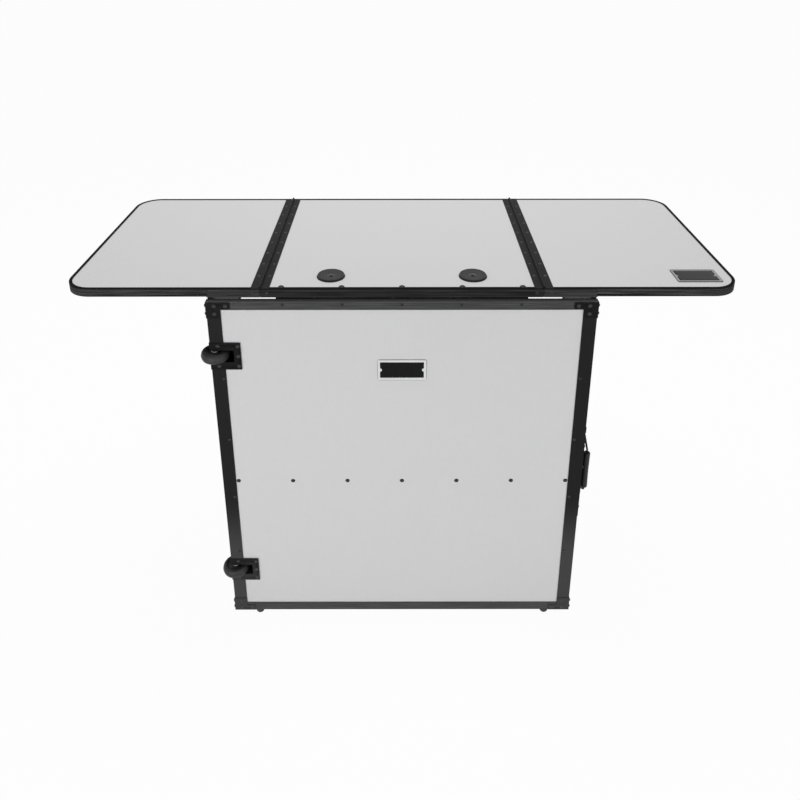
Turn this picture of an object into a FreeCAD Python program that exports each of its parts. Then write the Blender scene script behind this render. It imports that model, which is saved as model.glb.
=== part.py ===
import FreeCAD, Part
import math
import os

# Fold-out performer's booth: a framed front panel, two side panels that swing in behind it,
# and a table top whose centre leaf is hinged to the front panel and carries two folding wings.
# Millimetres. +X is the audience's right, +Y points to the performer, +Z is up, the floor is Z = 0.
# Pieces are laid out with the face of the front frame at Y = 0. The last step moves everything
# along Y so that the origin lies on the floor under the middle of the whole object.

V = FreeCAD.Vector

# Front panel
PANEL_WIDTH = 900.0
PANEL_HEIGHT = 934.0
FOOT_HEIGHT = 19.0
FOOT_RADIUS = 11.5
FOOT_TIP_RADIUS = 5.5
FOOT_INSET = 63.5
FOOT_FROM_FRONT = 14.0
FOOT_COLLAR = 7.6
FOOT_BULGE = 1.6
RAIL_DEPTH = 18.0
RAIL_WALL = 2.0
RAIL_LIP = 6.0
SIDE_RAIL_FACE = 32.5
TOP_RAIL_FACE = 20.0
BOTTOM_RAIL_FACE = 25.0
BOARD_THICKNESS = 9.0
BRACE_HEIGHT = 40.0
BRACE_ABOVE_FLOOR = 448.0

# Corner brackets of the frame
BRACKET_THICKNESS = 1.6
BRACKET_REACH_X = 55.0
BRACKET_REACH_Z = 41.0
BRACKET_ARM = 17.5
BRACKET_SCREW_X = (18.5, 44.5)
BRACKET_SCREW_Z = (9.5, 30.0)
BRACKET_SIDE_SCREW_Y = 4.0

# Edge wheels, on the left corner of the front panel
WHEEL_RADIUS = 33.6
WHEEL_THICKNESS = 24.0
WHEEL_HUB_RADIUS = 19.0
WHEEL_HUB_THICKNESS = 19.0
TYRE_CROWN = 9.6
HUB_WEB = 15.0
HUB_RIM = 2.0
HUB_BOSS_WALL = 4.0
WHEEL_FROM_MIDDLE = 325.0
WHEEL_INSET_X = 9.0
WHEEL_INSET_Y = 9.5
AXLE_RADIUS = 3.0
AXLE_NUT_RADIUS = 4.7
AXLE_NUT_HEIGHT = 1.6
DISH_SHEET = 1.6
DISH_HEIGHT = 72.0
DISH_WIDTH = 72.0
DISH_WINDOW_HEIGHT = 31.0
DISH_WINDOW_WIDTH = 55.0
WHEEL_CLEARANCE = 2.4

# Carrying handle: a plate on the right rail reaches back past the side panel and holds the bail
HANDLE_ABOVE_FLOOR = 454.0
HANDLE_SPAN = 191.0
HANDLE_WIRE_RADIUS = 2.5
HANDLE_AXIS_OFFSET = 16.4
HANDLE_AXIS_Y = 70.0
HANDLE_REACH = 34.0
HANDLE_REST_ANGLE = -88.3
HANDLE_SHEET = 1.6
HANDLE_PLATE_MARGIN = 6.0
HANDLE_PLATE_INSET = 1.0
HANDLE_SCREWS = 4
HANDLE_SCREW_PITCH = 62.0
GRIP_LENGTH = 106.0
GRIP_RADIUS = 8.5
GRIP_EDGE = 2.5
GRIP_NECK = 8.0
SADDLE_LENGTH = 16.0
SADDLE_RADIUS = 4.0
SADDLE_PLATE = (1.5, 14.0, 34.0)

# Side panels
SIDE_DEPTH = 281.0
SIDE_THICKNESS = 12.0
SIDE_SETBACK = 0.7
SIDE_FRAME_GAP = 0.6
EDGING_WALL = 1.5
EDGING_LEG = 18.0
REST_STRIP_THICKNESS = 3.5
REST_STRIP_INSET = 12.0
SIDE_FOOT_LENGTH = 34.0
NOTCH_CLEARANCE = 3.0

# Table top
TABLE_WIDTH = 1555.0
TABLE_DEPTH = 593.0
TABLE_THICKNESS = 20.7
TABLE_ABOVE_FRAME = 14.3
CENTRE_WIDTH = 647.6
TABLE_CORNER_RADIUS = 62.0
RIM_FLANGE = 7.6
RIM_WALL = 1.6
RIM_SHEET = 1.2
LEAF_JOINT_GAP = 0.6
LIP_THICKNESS = 2.0
LIP_HEIGHT = 19.9
LIP_DROP = 1.2
LIP_END_SLANT = 5.0
LIP_SPAN = 892.0
LIP_SCREW_FROM_JOINT = 17.0
LIP_SCREW_HEIGHT = 10.3

# Continuous hinges
LEAF_THICKNESS = 1.2
WING_LEAF_WIDTH = 21.0
WING_KNUCKLE_RADIUS = 2.5
WING_AXIS_LIFT = 2.0
SIDE_KNUCKLE_RADIUS = 2.8
SIDE_AXIS_OFFSET = 3.6
SIDE_LEAF_WIDTH = 20.0
TABLE_KNUCKLE_RADIUS = 3.0
TABLE_AXIS_BEHIND_RAIL = 3.4
TABLE_AXIS_ABOVE_RAIL = 0.5
TABLE_HINGE_LENGTH = 584.0
TABLE_LEAF_FRONT = 3.0
KNUCKLE_PITCH = 45.0
KNUCKLE_GAP = 0.5
KNUCKLE_CLEARANCE = 0.35
PIN_RADIUS = 1.2
PIN_CLEARANCE = 0.05
HINGE_END_MARGIN = 12.0

# Cable ports and bare name plates
PORT_FLANGE_RADIUS = 33.6
PORT_BODY_RADIUS = 29.5
PORT_BODY_WALL = 2.5
PORT_FLANGE_HEIGHT = 4.6
PORT_CAP_RADIUS = 26.5
PORT_CAP_DISH = 1.4
PORT_HOLE_RADIUS = 9.0
PORT_FROM_CENTRE = 167.0
PORT_FROM_FRONT = 66.0
FRONT_PLATE_SIZE = (116.6, 56.4)
WING_PLATE_SIZE = (105.0, 65.5)
PLATE_THICKNESS = 1.6
PLATE_BORDER = 6.0
PLATE_CORNER_RADIUS = 4.5
PLATE_FIELD_DEPTH = 0.6
FRONT_PLATE_ABOVE_FLOOR = 772.0
WING_PLATE_FROM_SIDE = 85.4
WING_PLATE_FROM_FRONT = 65.7

# Fasteners
END_BOLT_INSET = 38.6
BRACE_BOLTS = 7
ROW_RIVETS = 5
SIDE_RIVETS = 4
RIVET_INSET = 6.7
TABLE_BOLT_FROM_FRONT = 8.4
TABLE_BOLT_INSET = 47.8
SIDE_RIVET_PITCH = 175.0
BOLT_HEAD = (5.5, 3.0)
RIVET_HEAD = (4.0, 1.6)
SCREW_HEAD = (4.8, 2.2)
SIDE_SCREW_HEAD = (4.8, 3.4)
LEAF_RIVET_HEAD = (3.2, 0.6)
TABLE_BOLT_HEAD = (7.0, 3.6)
HEAD_FLAT_SHARE = 0.25
SHANK_RADIUS = 2.0
SHANK_CLEARANCE = 0.1
LEAF_RIVET_PITCH = 66.0
LEAF_RIVET_MARGIN = 38.0
LEAF_RIVET_FROM_EDGE = 12.6
FIT_CLEARANCE = 0.3

# Derived places
HALF_PANEL = PANEL_WIDTH / 2
FASTENER_PITCH = (PANEL_WIDTH - 2 * END_BOLT_INSET) / (BRACE_BOLTS - 1)
PANEL_BOTTOM = FOOT_HEIGHT
PANEL_TOP = FOOT_HEIGHT + PANEL_HEIGHT
PANEL_MIDDLE = (PANEL_BOTTOM + PANEL_TOP) / 2
SIDE_TUBE = SIDE_RAIL_FACE - RAIL_LIP
TOP_TUBE = TOP_RAIL_FACE - RAIL_LIP
BOTTOM_TUBE = BOTTOM_RAIL_FACE - RAIL_LIP
BOARD_BACK = RAIL_WALL + BOARD_THICKNESS
TABLE_BOTTOM = PANEL_TOP + TABLE_ABOVE_FRAME
TABLE_TOP = TABLE_BOTTOM + TABLE_THICKNESS
LIP_BOTTOM = TABLE_BOTTOM - LIP_DROP
TABLE_BOARD_BOTTOM = TABLE_BOTTOM + RIM_SHEET
TABLE_BOARD_TOP = TABLE_TOP - RIM_SHEET
HALF_TABLE = TABLE_WIDTH / 2
JOINT_X = CENTRE_WIDTH / 2
TABLE_BOLT_PITCH = 2 * (JOINT_X - TABLE_BOLT_INSET) / (ROW_RIVETS - 1)
CENTRE_EDGE = JOINT_X - LEAF_JOINT_GAP / 2
WING_EDGE = JOINT_X + LEAF_JOINT_GAP / 2
WING_AXIS_Z = TABLE_TOP + WING_AXIS_LIFT
WHEEL_X = -HALF_PANEL + WHEEL_INSET_X
WHEEL_Y = WHEEL_INSET_Y
WHEEL_HEIGHTS = {"upper": PANEL_MIDDLE + WHEEL_FROM_MIDDLE, "lower": PANEL_MIDDLE - WHEEL_FROM_MIDDLE}
DISH_BACK = WHEEL_Y + WHEEL_RADIUS + WHEEL_CLEARANCE
DISH_INNER_X = -HALF_PANEL + DISH_WINDOW_WIDTH
DISH_HALF_WINDOW = DISH_WINDOW_HEIGHT / 2
SIDE_OUTER_X = HALF_PANEL - SIDE_SETBACK
SIDE_INNER_X = SIDE_OUTER_X - SIDE_THICKNESS
SIDE_FRONT = RAIL_DEPTH + SIDE_FRAME_GAP
SIDE_BACK = SIDE_FRONT + SIDE_DEPTH
SIDE_BOTTOM = FOOT_HEIGHT
SIDE_TOP = TABLE_BOTTOM - FIT_CLEARANCE - REST_STRIP_THICKNESS
SIDE_AXIS_X = SIDE_INNER_X - SIDE_AXIS_OFFSET
SIDE_AXIS_Y = RAIL_DEPTH + SIDE_AXIS_OFFSET
TABLE_AXIS_Y = RAIL_DEPTH + TABLE_AXIS_BEHIND_RAIL
TABLE_AXIS_Z = PANEL_TOP + TABLE_AXIS_ABOVE_RAIL
HANDLE_AXIS_X = HALF_PANEL + HANDLE_SHEET + HANDLE_AXIS_OFFSET
FRONT_REACH = WHEEL_RADIUS - WHEEL_Y
MIDDLE_Y = (TABLE_DEPTH - FRONT_REACH) / 2

PARTS = {}


def box(x, y, z):
    """A block from three (low, high) pairs."""
    block = Part.makeBox(x[1] - x[0], y[1] - y[0], z[1] - z[0])
    block.translate(V(x[0], y[0], z[0]))
    return block


def rod(radius, start, end):
    """A round bar between two points."""
    return Part.makeCylinder(radius, (end - start).Length, start, end - start)


def upright_rod(radius, half):
    """A round bar along Z about the origin."""
    return rod(radius, V(0, 0, -half), V(0, 0, half))


def group(shapes):
    return Part.makeCompound(list(shapes))


def mirrored(shape):
    """The same piece on the other side of the object."""
    return shape.mirror(V(0, 0, 0), V(1, 0, 0))


def revolved(points, arc_at=None):
    """A solid turned about Z from (radius, height) points; arc_at bows the line after that point."""
    edges = []
    for i, (r, z) in enumerate(points):
        r2, z2 = points[(i + 1) % len(points)]
        start, end = V(r, 0, z), V(r2, 0, z2)
        if arc_at and i in arc_at:
            bow = arc_at[i]
            edges.append(Part.Arc(start, V(bow[0], 0, bow[1]), end).toShape())
        else:
            edges.append(Part.LineSegment(start, end).toShape())
    face = Part.Face(Part.Wire(edges))
    return face.revolve(V(0, 0, 0), V(0, 0, 1), 360)


def fastener(head, shank_length):
    """A head shaped as a cap of a sphere with a small flat on top, on a plain shank, seated at Z = 0."""
    radius, height = head
    sphere = (radius ** 2 + height ** 2) / (2 * height)
    flat = radius * HEAD_FLAT_SHARE

    def cap(r):
        return (r, height - sphere + math.sqrt(sphere ** 2 - r ** 2))

    points = [(0, -shank_length), (SHANK_RADIUS, -shank_length), (SHANK_RADIUS, 0), (radius, 0)]
    points += [cap(flat), (0, cap(flat)[1])]
    return revolved(points, {3: cap((radius + flat) / 2)})


def aimed(shape, position, direction):
    """A copy of a shape made along +Z, turned to a direction and set at a position."""
    turned = shape.copy()
    placement = FreeCAD.Placement(position, FreeCAD.Rotation(V(0, 0, 1), direction))
    turned.Placement = placement.multiply(shape.Placement)
    return turned


def fasteners(points, direction, head, shank_length):
    """Fasteners at the points, with the drill that clears their shanks."""
    piece = fastener(head, shank_length)
    drill = Part.makeCylinder(SHANK_RADIUS + SHANK_CLEARANCE, shank_length + SHANK_CLEARANCE)
    drill.translate(V(0, 0, -shank_length - SHANK_CLEARANCE))
    pieces = [aimed(piece, p, direction) for p in points]
    drills = [aimed(drill, p, direction) for p in points]
    return pieces, drills


def pitched(count, pitch):
    """Places of a row of fasteners about zero."""
    return [(i - (count - 1) / 2) * pitch for i in range(count)]


def knuckle_spans(start, end):
    """Cuts a hinge into an odd number of knuckles and gives the (low, high) of each."""
    count = 2 * int((end - start) / KNUCKLE_PITCH / 2) + 1
    pitch = (end - start) / count
    ends = [start + i * pitch for i in range(count + 1)]
    return [(low + KNUCKLE_GAP / 2, high - KNUCKLE_GAP / 2) for low, high in zip(ends, ends[1:])]


def hinge(plates, origin, along, radius, runs):
    """Two leaves and their pins on one axis; the first plate takes the outer knuckles."""
    own = {0: [], 1: []}
    clear = {0: [], 1: []}
    pins = []
    bores = []
    for start, end in runs:
        for i, (low, high) in enumerate(knuckle_spans(start, end)):
            side = i % 2
            own[side].append(rod(radius, origin + along * low, origin + along * high))
            room_low = origin + along * (low - KNUCKLE_GAP)
            room_high = origin + along * (high + KNUCKLE_GAP)
            clear[1 - side].append(rod(radius + KNUCKLE_CLEARANCE, room_low, room_high))
        pins.append(rod(PIN_RADIUS, origin + along * start, origin + along * end))
        bore_low = origin + along * (start - KNUCKLE_GAP)
        bore_high = origin + along * (end + KNUCKLE_GAP)
        bores.append(rod(PIN_RADIUS + PIN_CLEARANCE, bore_low, bore_high))
    leaves = [plates[i].cut(clear[i]).fuse(own[i]).cut(bores) for i in (0, 1)]
    return leaves[0], leaves[1], group(pins)


def rail(face, tube, length):
    """A hollow extrusion along +Z with a lip that laps over the board, outer edge at X = 0, face at Y = 0."""
    outer = box((0, tube), (0, RAIL_DEPTH), (0, length))
    hollow = box((RAIL_WALL, tube - RAIL_WALL), (RAIL_WALL, RAIL_DEPTH - RAIL_WALL), (0, length))
    lip = box((tube, face), (0, RAIL_WALL), (0, length))
    return outer.cut(hollow).fuse(lip).removeSplitter()


def dish_rooms():
    """The blocks cut out of the frame's left edge for the wheel dishes."""
    rooms = []
    for height in WHEEL_HEIGHTS.values():
        reach = DISH_HALF_WINDOW + DISH_SHEET
        x = (-HALF_PANEL, DISH_INNER_X + DISH_SHEET)
        rooms.append(box(x, (0, DISH_BACK), (height - reach, height + reach)))
    return rooms


def make_frame():
    """Board, four rails, brace, corner brackets and their fasteners."""
    low, high = PANEL_BOTTOM + BOTTOM_RAIL_FACE, PANEL_TOP - TOP_RAIL_FACE
    left = rail(SIDE_RAIL_FACE, SIDE_TUBE, high - low)
    left.translate(V(-HALF_PANEL, 0, low))
    right = mirrored(left)
    top = rail(TOP_RAIL_FACE, TOP_TUBE, PANEL_WIDTH)
    top.rotate(V(0, 0, 0), V(0, 1, 0), 90)
    top.translate(V(-HALF_PANEL, 0, PANEL_TOP))
    bottom = rail(BOTTOM_RAIL_FACE, BOTTOM_TUBE, PANEL_WIDTH)
    bottom.rotate(V(0, 0, 0), V(0, 1, 0), -90)
    bottom.translate(V(HALF_PANEL, 0, PANEL_BOTTOM))
    board_x = HALF_PANEL - SIDE_TUBE
    board_z = (PANEL_BOTTOM + BOTTOM_TUBE, PANEL_TOP - TOP_TUBE)
    board = box((-board_x, board_x), (RAIL_WALL, BOARD_BACK), board_z)
    brace_z = (BRACE_ABOVE_FLOOR - BRACE_HEIGHT / 2, BRACE_ABOVE_FLOOR + BRACE_HEIGHT / 2)
    brace = box((-board_x, board_x), (BOARD_BACK, RAIL_DEPTH), brace_z)
    inner_z = (brace_z[0] + RAIL_WALL, brace_z[1] - RAIL_WALL)
    brace = brace.cut(box((-board_x, board_x), (BOARD_BACK + RAIL_WALL, RAIL_DEPTH - RAIL_WALL), inner_z))

    front = V(0, -1, 0)
    bolt_points = [V(x, RAIL_WALL, BRACE_ABOVE_FLOOR) for x in pitched(BRACE_BOLTS, FASTENER_PITCH)]
    bolts, bolt_drills = fasteners(bolt_points, front, BOLT_HEAD, BOARD_THICKNESS + RAIL_WALL)
    rivet_x = HALF_PANEL - SIDE_RAIL_FACE + RIVET_INSET
    rivet_points = [V(x, 0, PANEL_TOP - TOP_TUBE / 2) for x in pitched(ROW_RIVETS, FASTENER_PITCH)]
    for z in pitched(SIDE_RIVETS, SIDE_RIVET_PITCH):
        rivet_points += [V(side * rivet_x, 0, PANEL_MIDDLE + z) for side in (-1, 1)]
    rivets, rivet_drills = fasteners(rivet_points, front, RIVET_HEAD, RAIL_WALL + BOARD_THICKNESS / 2)

    brackets = []
    screws = []
    screw_drills = []
    for side in (-1, 1):
        for end in (-1, 1):
            bracket, points, side_points = corner_bracket(side, end)
            shank = RAIL_WALL + BRACKET_THICKNESS
            made, drills = fasteners(points, front, SCREW_HEAD, shank)
            side_made, side_drills = fasteners(side_points, V(side, 0, 0), SIDE_SCREW_HEAD, shank)
            screws += made + side_made
            screw_drills += drills + side_drills
            brackets.append(bracket.cut(drills + side_drills))

    rooms = dish_rooms()
    drills = bolt_drills + rivet_drills + screw_drills
    PARTS["front_board"] = board.cut(rooms + drills)
    PARTS["frame_rail_left"] = left.cut(rooms + drills)
    PARTS["frame_rail_right"] = right.cut(drills)
    PARTS["frame_rail_top"] = top.cut(drills)
    PARTS["frame_rail_bottom"] = bottom.cut(drills)
    PARTS["cross_brace"] = brace.cut(drills)
    PARTS["brace_bolts"] = group(bolts)
    PARTS["frame_rivets"] = group(rivets)
    PARTS["corner_brackets"] = group(brackets)
    return screws


def corner_bracket(side, end):
    """A sheet bracket round one corner of the frame, and the places of its front and side screws."""
    corner_x = side * HALF_PANEL
    corner_z = PANEL_TOP if end > 0 else PANEL_BOTTOM

    def across(a, b):
        return tuple(sorted((corner_x - side * a, corner_x - side * b)))

    def upright(a, b):
        return tuple(sorted((corner_z - end * a, corner_z - end * b)))

    face = (-BRACKET_THICKNESS, 0)
    arm = box(across(0, BRACKET_REACH_X), face, upright(0, BRACKET_ARM))
    leg = box(across(0, SIDE_RAIL_FACE), face, upright(0, BRACKET_REACH_Z))
    cheek = box(across(-BRACKET_THICKNESS, 0), (-BRACKET_THICKNESS, RAIL_DEPTH), upright(0, BRACKET_REACH_Z))
    bracket = arm.fuse([leg, cheek]).removeSplitter()
    y = -BRACKET_THICKNESS
    z_near, z_far = (corner_z - end * z for z in BRACKET_SCREW_Z)
    x_near, x_far = (corner_x - side * x for x in BRACKET_SCREW_X)
    points = [V(x_near, y, z_near), V(x_far, y, z_near), V(x_near, y, z_far)]
    side_x = corner_x + side * BRACKET_THICKNESS
    side_points = [V(side_x, BRACKET_SIDE_SCREW_Y, z) for z in (z_near, z_far)]
    return bracket, points, side_points


def make_wheel_dish(height):
    """Pressed dish on the frame's edge: face plate, edge plate, two cheeks, back and inner wall."""
    reach = DISH_HEIGHT / 2
    window = (height - DISH_HALF_WINDOW, height + DISH_HALF_WINDOW)
    left = -HALF_PANEL
    face = box((left - DISH_SHEET, left + DISH_WIDTH), (-DISH_SHEET, 0), (height - reach, height + reach))
    edge = box((left - DISH_SHEET, left), (-DISH_SHEET, RAIL_DEPTH), (height - reach, height + reach))
    shell = face.fuse(edge)
    shell = shell.cut(box((left - DISH_SHEET, DISH_INNER_X), (-DISH_SHEET, RAIL_DEPTH), window))
    inner = DISH_INNER_X + DISH_SHEET
    cheeks = box((left, inner), (0, DISH_BACK), (window[0] - DISH_SHEET, window[1] + DISH_SHEET))
    cheeks = cheeks.cut(box((left, DISH_INNER_X), (0, DISH_BACK - DISH_SHEET), window))
    axle_hole = axle_at(upright_rod(AXLE_RADIUS + PIN_CLEARANCE, reach), height)
    points = []
    for z in (-reach + BRACKET_SCREW_Z[0], reach - BRACKET_SCREW_Z[0]):
        for x in (BRACKET_SCREW_X[0], DISH_WIDTH - SCREW_HEAD[0] - RAIL_WALL):
            points.append(V(left + x, -DISH_SHEET, height + z))
    points.append(V(left + DISH_WIDTH - SCREW_HEAD[0] - RAIL_WALL, -DISH_SHEET, height))
    return shell.fuse(cheeks).cut(axle_hole).removeSplitter(), points


def make_wheel():
    """Rounded tyre on a stepped hub, turned about Z."""
    half = WHEEL_THICKNESS / 2
    hub_half = WHEEL_HUB_THICKNESS / 2
    shoulder = WHEEL_RADIUS - TYRE_CROWN
    tyre = revolved(
        [(WHEEL_HUB_RADIUS, -hub_half), (shoulder, -half), (shoulder, half), (WHEEL_HUB_RADIUS, hub_half)],
        {1: (WHEEL_RADIUS, 0)},
    )
    bore = AXLE_RADIUS + PIN_CLEARANCE
    web = HUB_WEB / 2
    boss = AXLE_RADIUS + HUB_BOSS_WALL
    rim = WHEEL_HUB_RADIUS - HUB_RIM
    outline = [(bore, -hub_half), (boss, -hub_half), (boss, -web), (rim, -web), (rim, -hub_half)]
    outline += [(WHEEL_HUB_RADIUS, -hub_half), (WHEEL_HUB_RADIUS, hub_half)]
    outline += [(rim, hub_half), (rim, web), (boss, web), (boss, hub_half), (bore, hub_half)]
    return tyre, revolved(outline)


def make_axle():
    """Axle pin through both cheeks, with a low nut just outside each."""
    reach = DISH_HALF_WINDOW + DISH_SHEET
    half = reach + AXLE_NUT_HEIGHT
    pin = upright_rod(AXLE_RADIUS, half)
    nuts = [rod(AXLE_NUT_RADIUS, V(0, 0, s * reach), V(0, 0, s * half)) for s in (-1, 1)]
    return pin.fuse(nuts).removeSplitter()


def make_wheels(screws):
    """Two dishes, axles and wheels; the dish screws join the frame's screws."""
    axles = []
    for name, height in WHEEL_HEIGHTS.items():
        dish, points = make_wheel_dish(height)
        made, drills = fasteners(points, V(0, -1, 0), SCREW_HEAD, RAIL_WALL + DISH_SHEET)
        screws += made
        for carrier in ("front_board", "frame_rail_left"):
            PARTS[carrier] = PARTS[carrier].cut(drills)
        nut_room = axle_at(upright_rod(AXLE_NUT_RADIUS + FIT_CLEARANCE, DISH_HEIGHT / 2), height)
        PARTS["frame_rail_left"] = PARTS["frame_rail_left"].cut(nut_room)
        PARTS["wheel_dish_" + name] = dish.cut(drills)
        tyre, hub = make_wheel()
        PARTS["wheel_tyre_" + name] = axle_at(tyre, height)
        PARTS["wheel_hub_" + name] = axle_at(hub, height)
        axles.append(axle_at(make_axle(), height))
    PARTS["wheel_axles"] = group(axles)


def axle_at(shape, height):
    placed = shape.copy()
    placed.translate(V(WHEEL_X, WHEEL_Y, height))
    return placed


def make_feet():
    """Tapered round feet under the frame."""
    shoulder = FOOT_HEIGHT - FOOT_COLLAR
    profile = [(0, 0), (FOOT_TIP_RADIUS, 0), (FOOT_RADIUS, shoulder)]
    profile += [(FOOT_RADIUS, FOOT_HEIGHT), (0, FOOT_HEIGHT)]
    bow = ((FOOT_TIP_RADIUS + FOOT_RADIUS) / 2 + FOOT_BULGE, shoulder / 2 - FOOT_BULGE)
    foot = revolved(profile, {1: bow})
    feet = []
    for side in (-1, 1):
        placed = foot.copy()
        placed.translate(V(side * (HALF_PANEL - FOOT_INSET), FOOT_FROM_FRONT, 0))
        feet.append(placed)
    PARTS["front_feet"] = group(feet)


def make_handle_plate(screws):
    """Plate screwed to the right rail, with the two saddles that the bail turns in."""
    saddle_x, saddle_y, saddle_z = SADDLE_PLATE
    face = HALF_PANEL + HANDLE_SHEET
    half_height = (HANDLE_SPAN + saddle_z) / 2 + HANDLE_PLATE_MARGIN
    tall = (HANDLE_ABOVE_FLOOR - half_height, HANDLE_ABOVE_FLOOR + half_height)
    back = HANDLE_AXIS_Y + saddle_y / 2 + HANDLE_PLATE_MARGIN
    plate = box((HALF_PANEL, face), (HANDLE_PLATE_INSET, back), tall)
    saddles = []
    for end in (-1, 1):
        z = HANDLE_ABOVE_FLOOR + end * HANDLE_SPAN / 2
        saddle_depth = (HANDLE_AXIS_Y - saddle_y / 2, HANDLE_AXIS_Y + saddle_y / 2)
        saddles.append(box((face, face + saddle_x), saddle_depth, (z - saddle_z / 2, z + saddle_z / 2)))
        low = V(HANDLE_AXIS_X, HANDLE_AXIS_Y, z - SADDLE_LENGTH / 2)
        high = V(HANDLE_AXIS_X, HANDLE_AXIS_Y, z + SADDLE_LENGTH / 2)
        post_depth = (HANDLE_AXIS_Y - SADDLE_RADIUS, HANDLE_AXIS_Y + SADDLE_RADIUS)
        saddles.append(box((face, HANDLE_AXIS_X), post_depth, (low.z, high.z)))
        saddles.append(rod(SADDLE_RADIUS, low, high))
    ends = [V(HANDLE_AXIS_X, HANDLE_AXIS_Y, z) for z in tall]
    bore = rod(HANDLE_WIRE_RADIUS + PIN_CLEARANCE, *ends)
    heights = pitched(HANDLE_SCREWS, HANDLE_SCREW_PITCH)
    points = [V(face, RAIL_DEPTH / 2, HANDLE_ABOVE_FLOOR + z) for z in heights]
    made, drills = fasteners(points, V(1, 0, 0), SIDE_SCREW_HEAD, RAIL_WALL + HANDLE_SHEET)
    screws += made
    inside = box((0, HALF_PANEL), (0, back), tall)
    PARTS["handle_saddles"] = plate.fuse(saddles).cut([inside, bore, *drills]).removeSplitter()
    PARTS["frame_rail_right"] = PARTS["frame_rail_right"].cut(drills)


def make_handle():
    """A wire bail that turns in the saddles, and its grip."""
    axis = V(HANDLE_AXIS_X, HANDLE_AXIS_Y, HANDLE_ABOVE_FLOOR)
    turn = math.radians(HANDLE_REST_ANGLE)
    out = V(math.cos(turn), math.sin(turn), 0) * HANDLE_REACH
    half_grip = GRIP_LENGTH / 2
    stub_high = HANDLE_SPAN / 2 + SADDLE_LENGTH / 2
    stub_low = HANDLE_SPAN / 2 - SADDLE_LENGTH / 2 - HANDLE_WIRE_RADIUS
    neck = half_grip + GRIP_NECK
    wire = [rod(HANDLE_WIRE_RADIUS, axis + out - V(0, 0, neck), axis + out + V(0, 0, neck))]
    for end in (-1, 1):
        knee = axis + V(0, 0, end * stub_low)
        elbow = axis + out + V(0, 0, end * neck)
        wire.append(rod(HANDLE_WIRE_RADIUS, knee, axis + V(0, 0, end * stub_high)))
        wire.append(rod(HANDLE_WIRE_RADIUS, knee, elbow))
        wire += [Part.makeSphere(HANDLE_WIRE_RADIUS, p) for p in (knee, elbow)]
    PARTS["handle_bail"] = wire[0].fuse(wire[1:])

    low, high = axis + out - V(0, 0, half_grip), axis + out + V(0, 0, half_grip)
    grip = rod(GRIP_RADIUS, low, high)
    ends = [edge for edge in grip.Edges if edge.BoundBox.ZLength < GRIP_EDGE]
    grip = grip.makeFillet(GRIP_EDGE, ends).cut(rod(HANDLE_WIRE_RADIUS + PIN_CLEARANCE, low, high))
    PARTS["handle_grip"] = grip


def side_notches():
    """Room in the left side panel for the wheel dishes, over its whole swing."""
    reach = DISH_HALF_WINDOW + DISH_SHEET + NOTCH_CLEARANCE
    corner = V(SIDE_AXIS_X + DISH_INNER_X + DISH_SHEET, DISH_BACK - SIDE_AXIS_Y, 0)
    back = SIDE_AXIS_Y + corner.Length + NOTCH_CLEARANCE
    return [box((-SIDE_OUTER_X, 0), (0, back), (z - reach, z + reach)) for z in WHEEL_HEIGHTS.values()]


def side_hinge_runs():
    """The three stretches of the side hinge, which stops short of the wheel dishes."""
    reach = DISH_HEIGHT / 2 + HINGE_END_MARGIN
    ends = [SIDE_BOTTOM + HINGE_END_MARGIN]
    for height in sorted(WHEEL_HEIGHTS.values()):
        ends += [height - reach, height + reach]
    ends.append(PANEL_TOP - TOP_RAIL_FACE - HINGE_END_MARGIN)
    return list(zip(ends[0::2], ends[1::2]))


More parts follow.
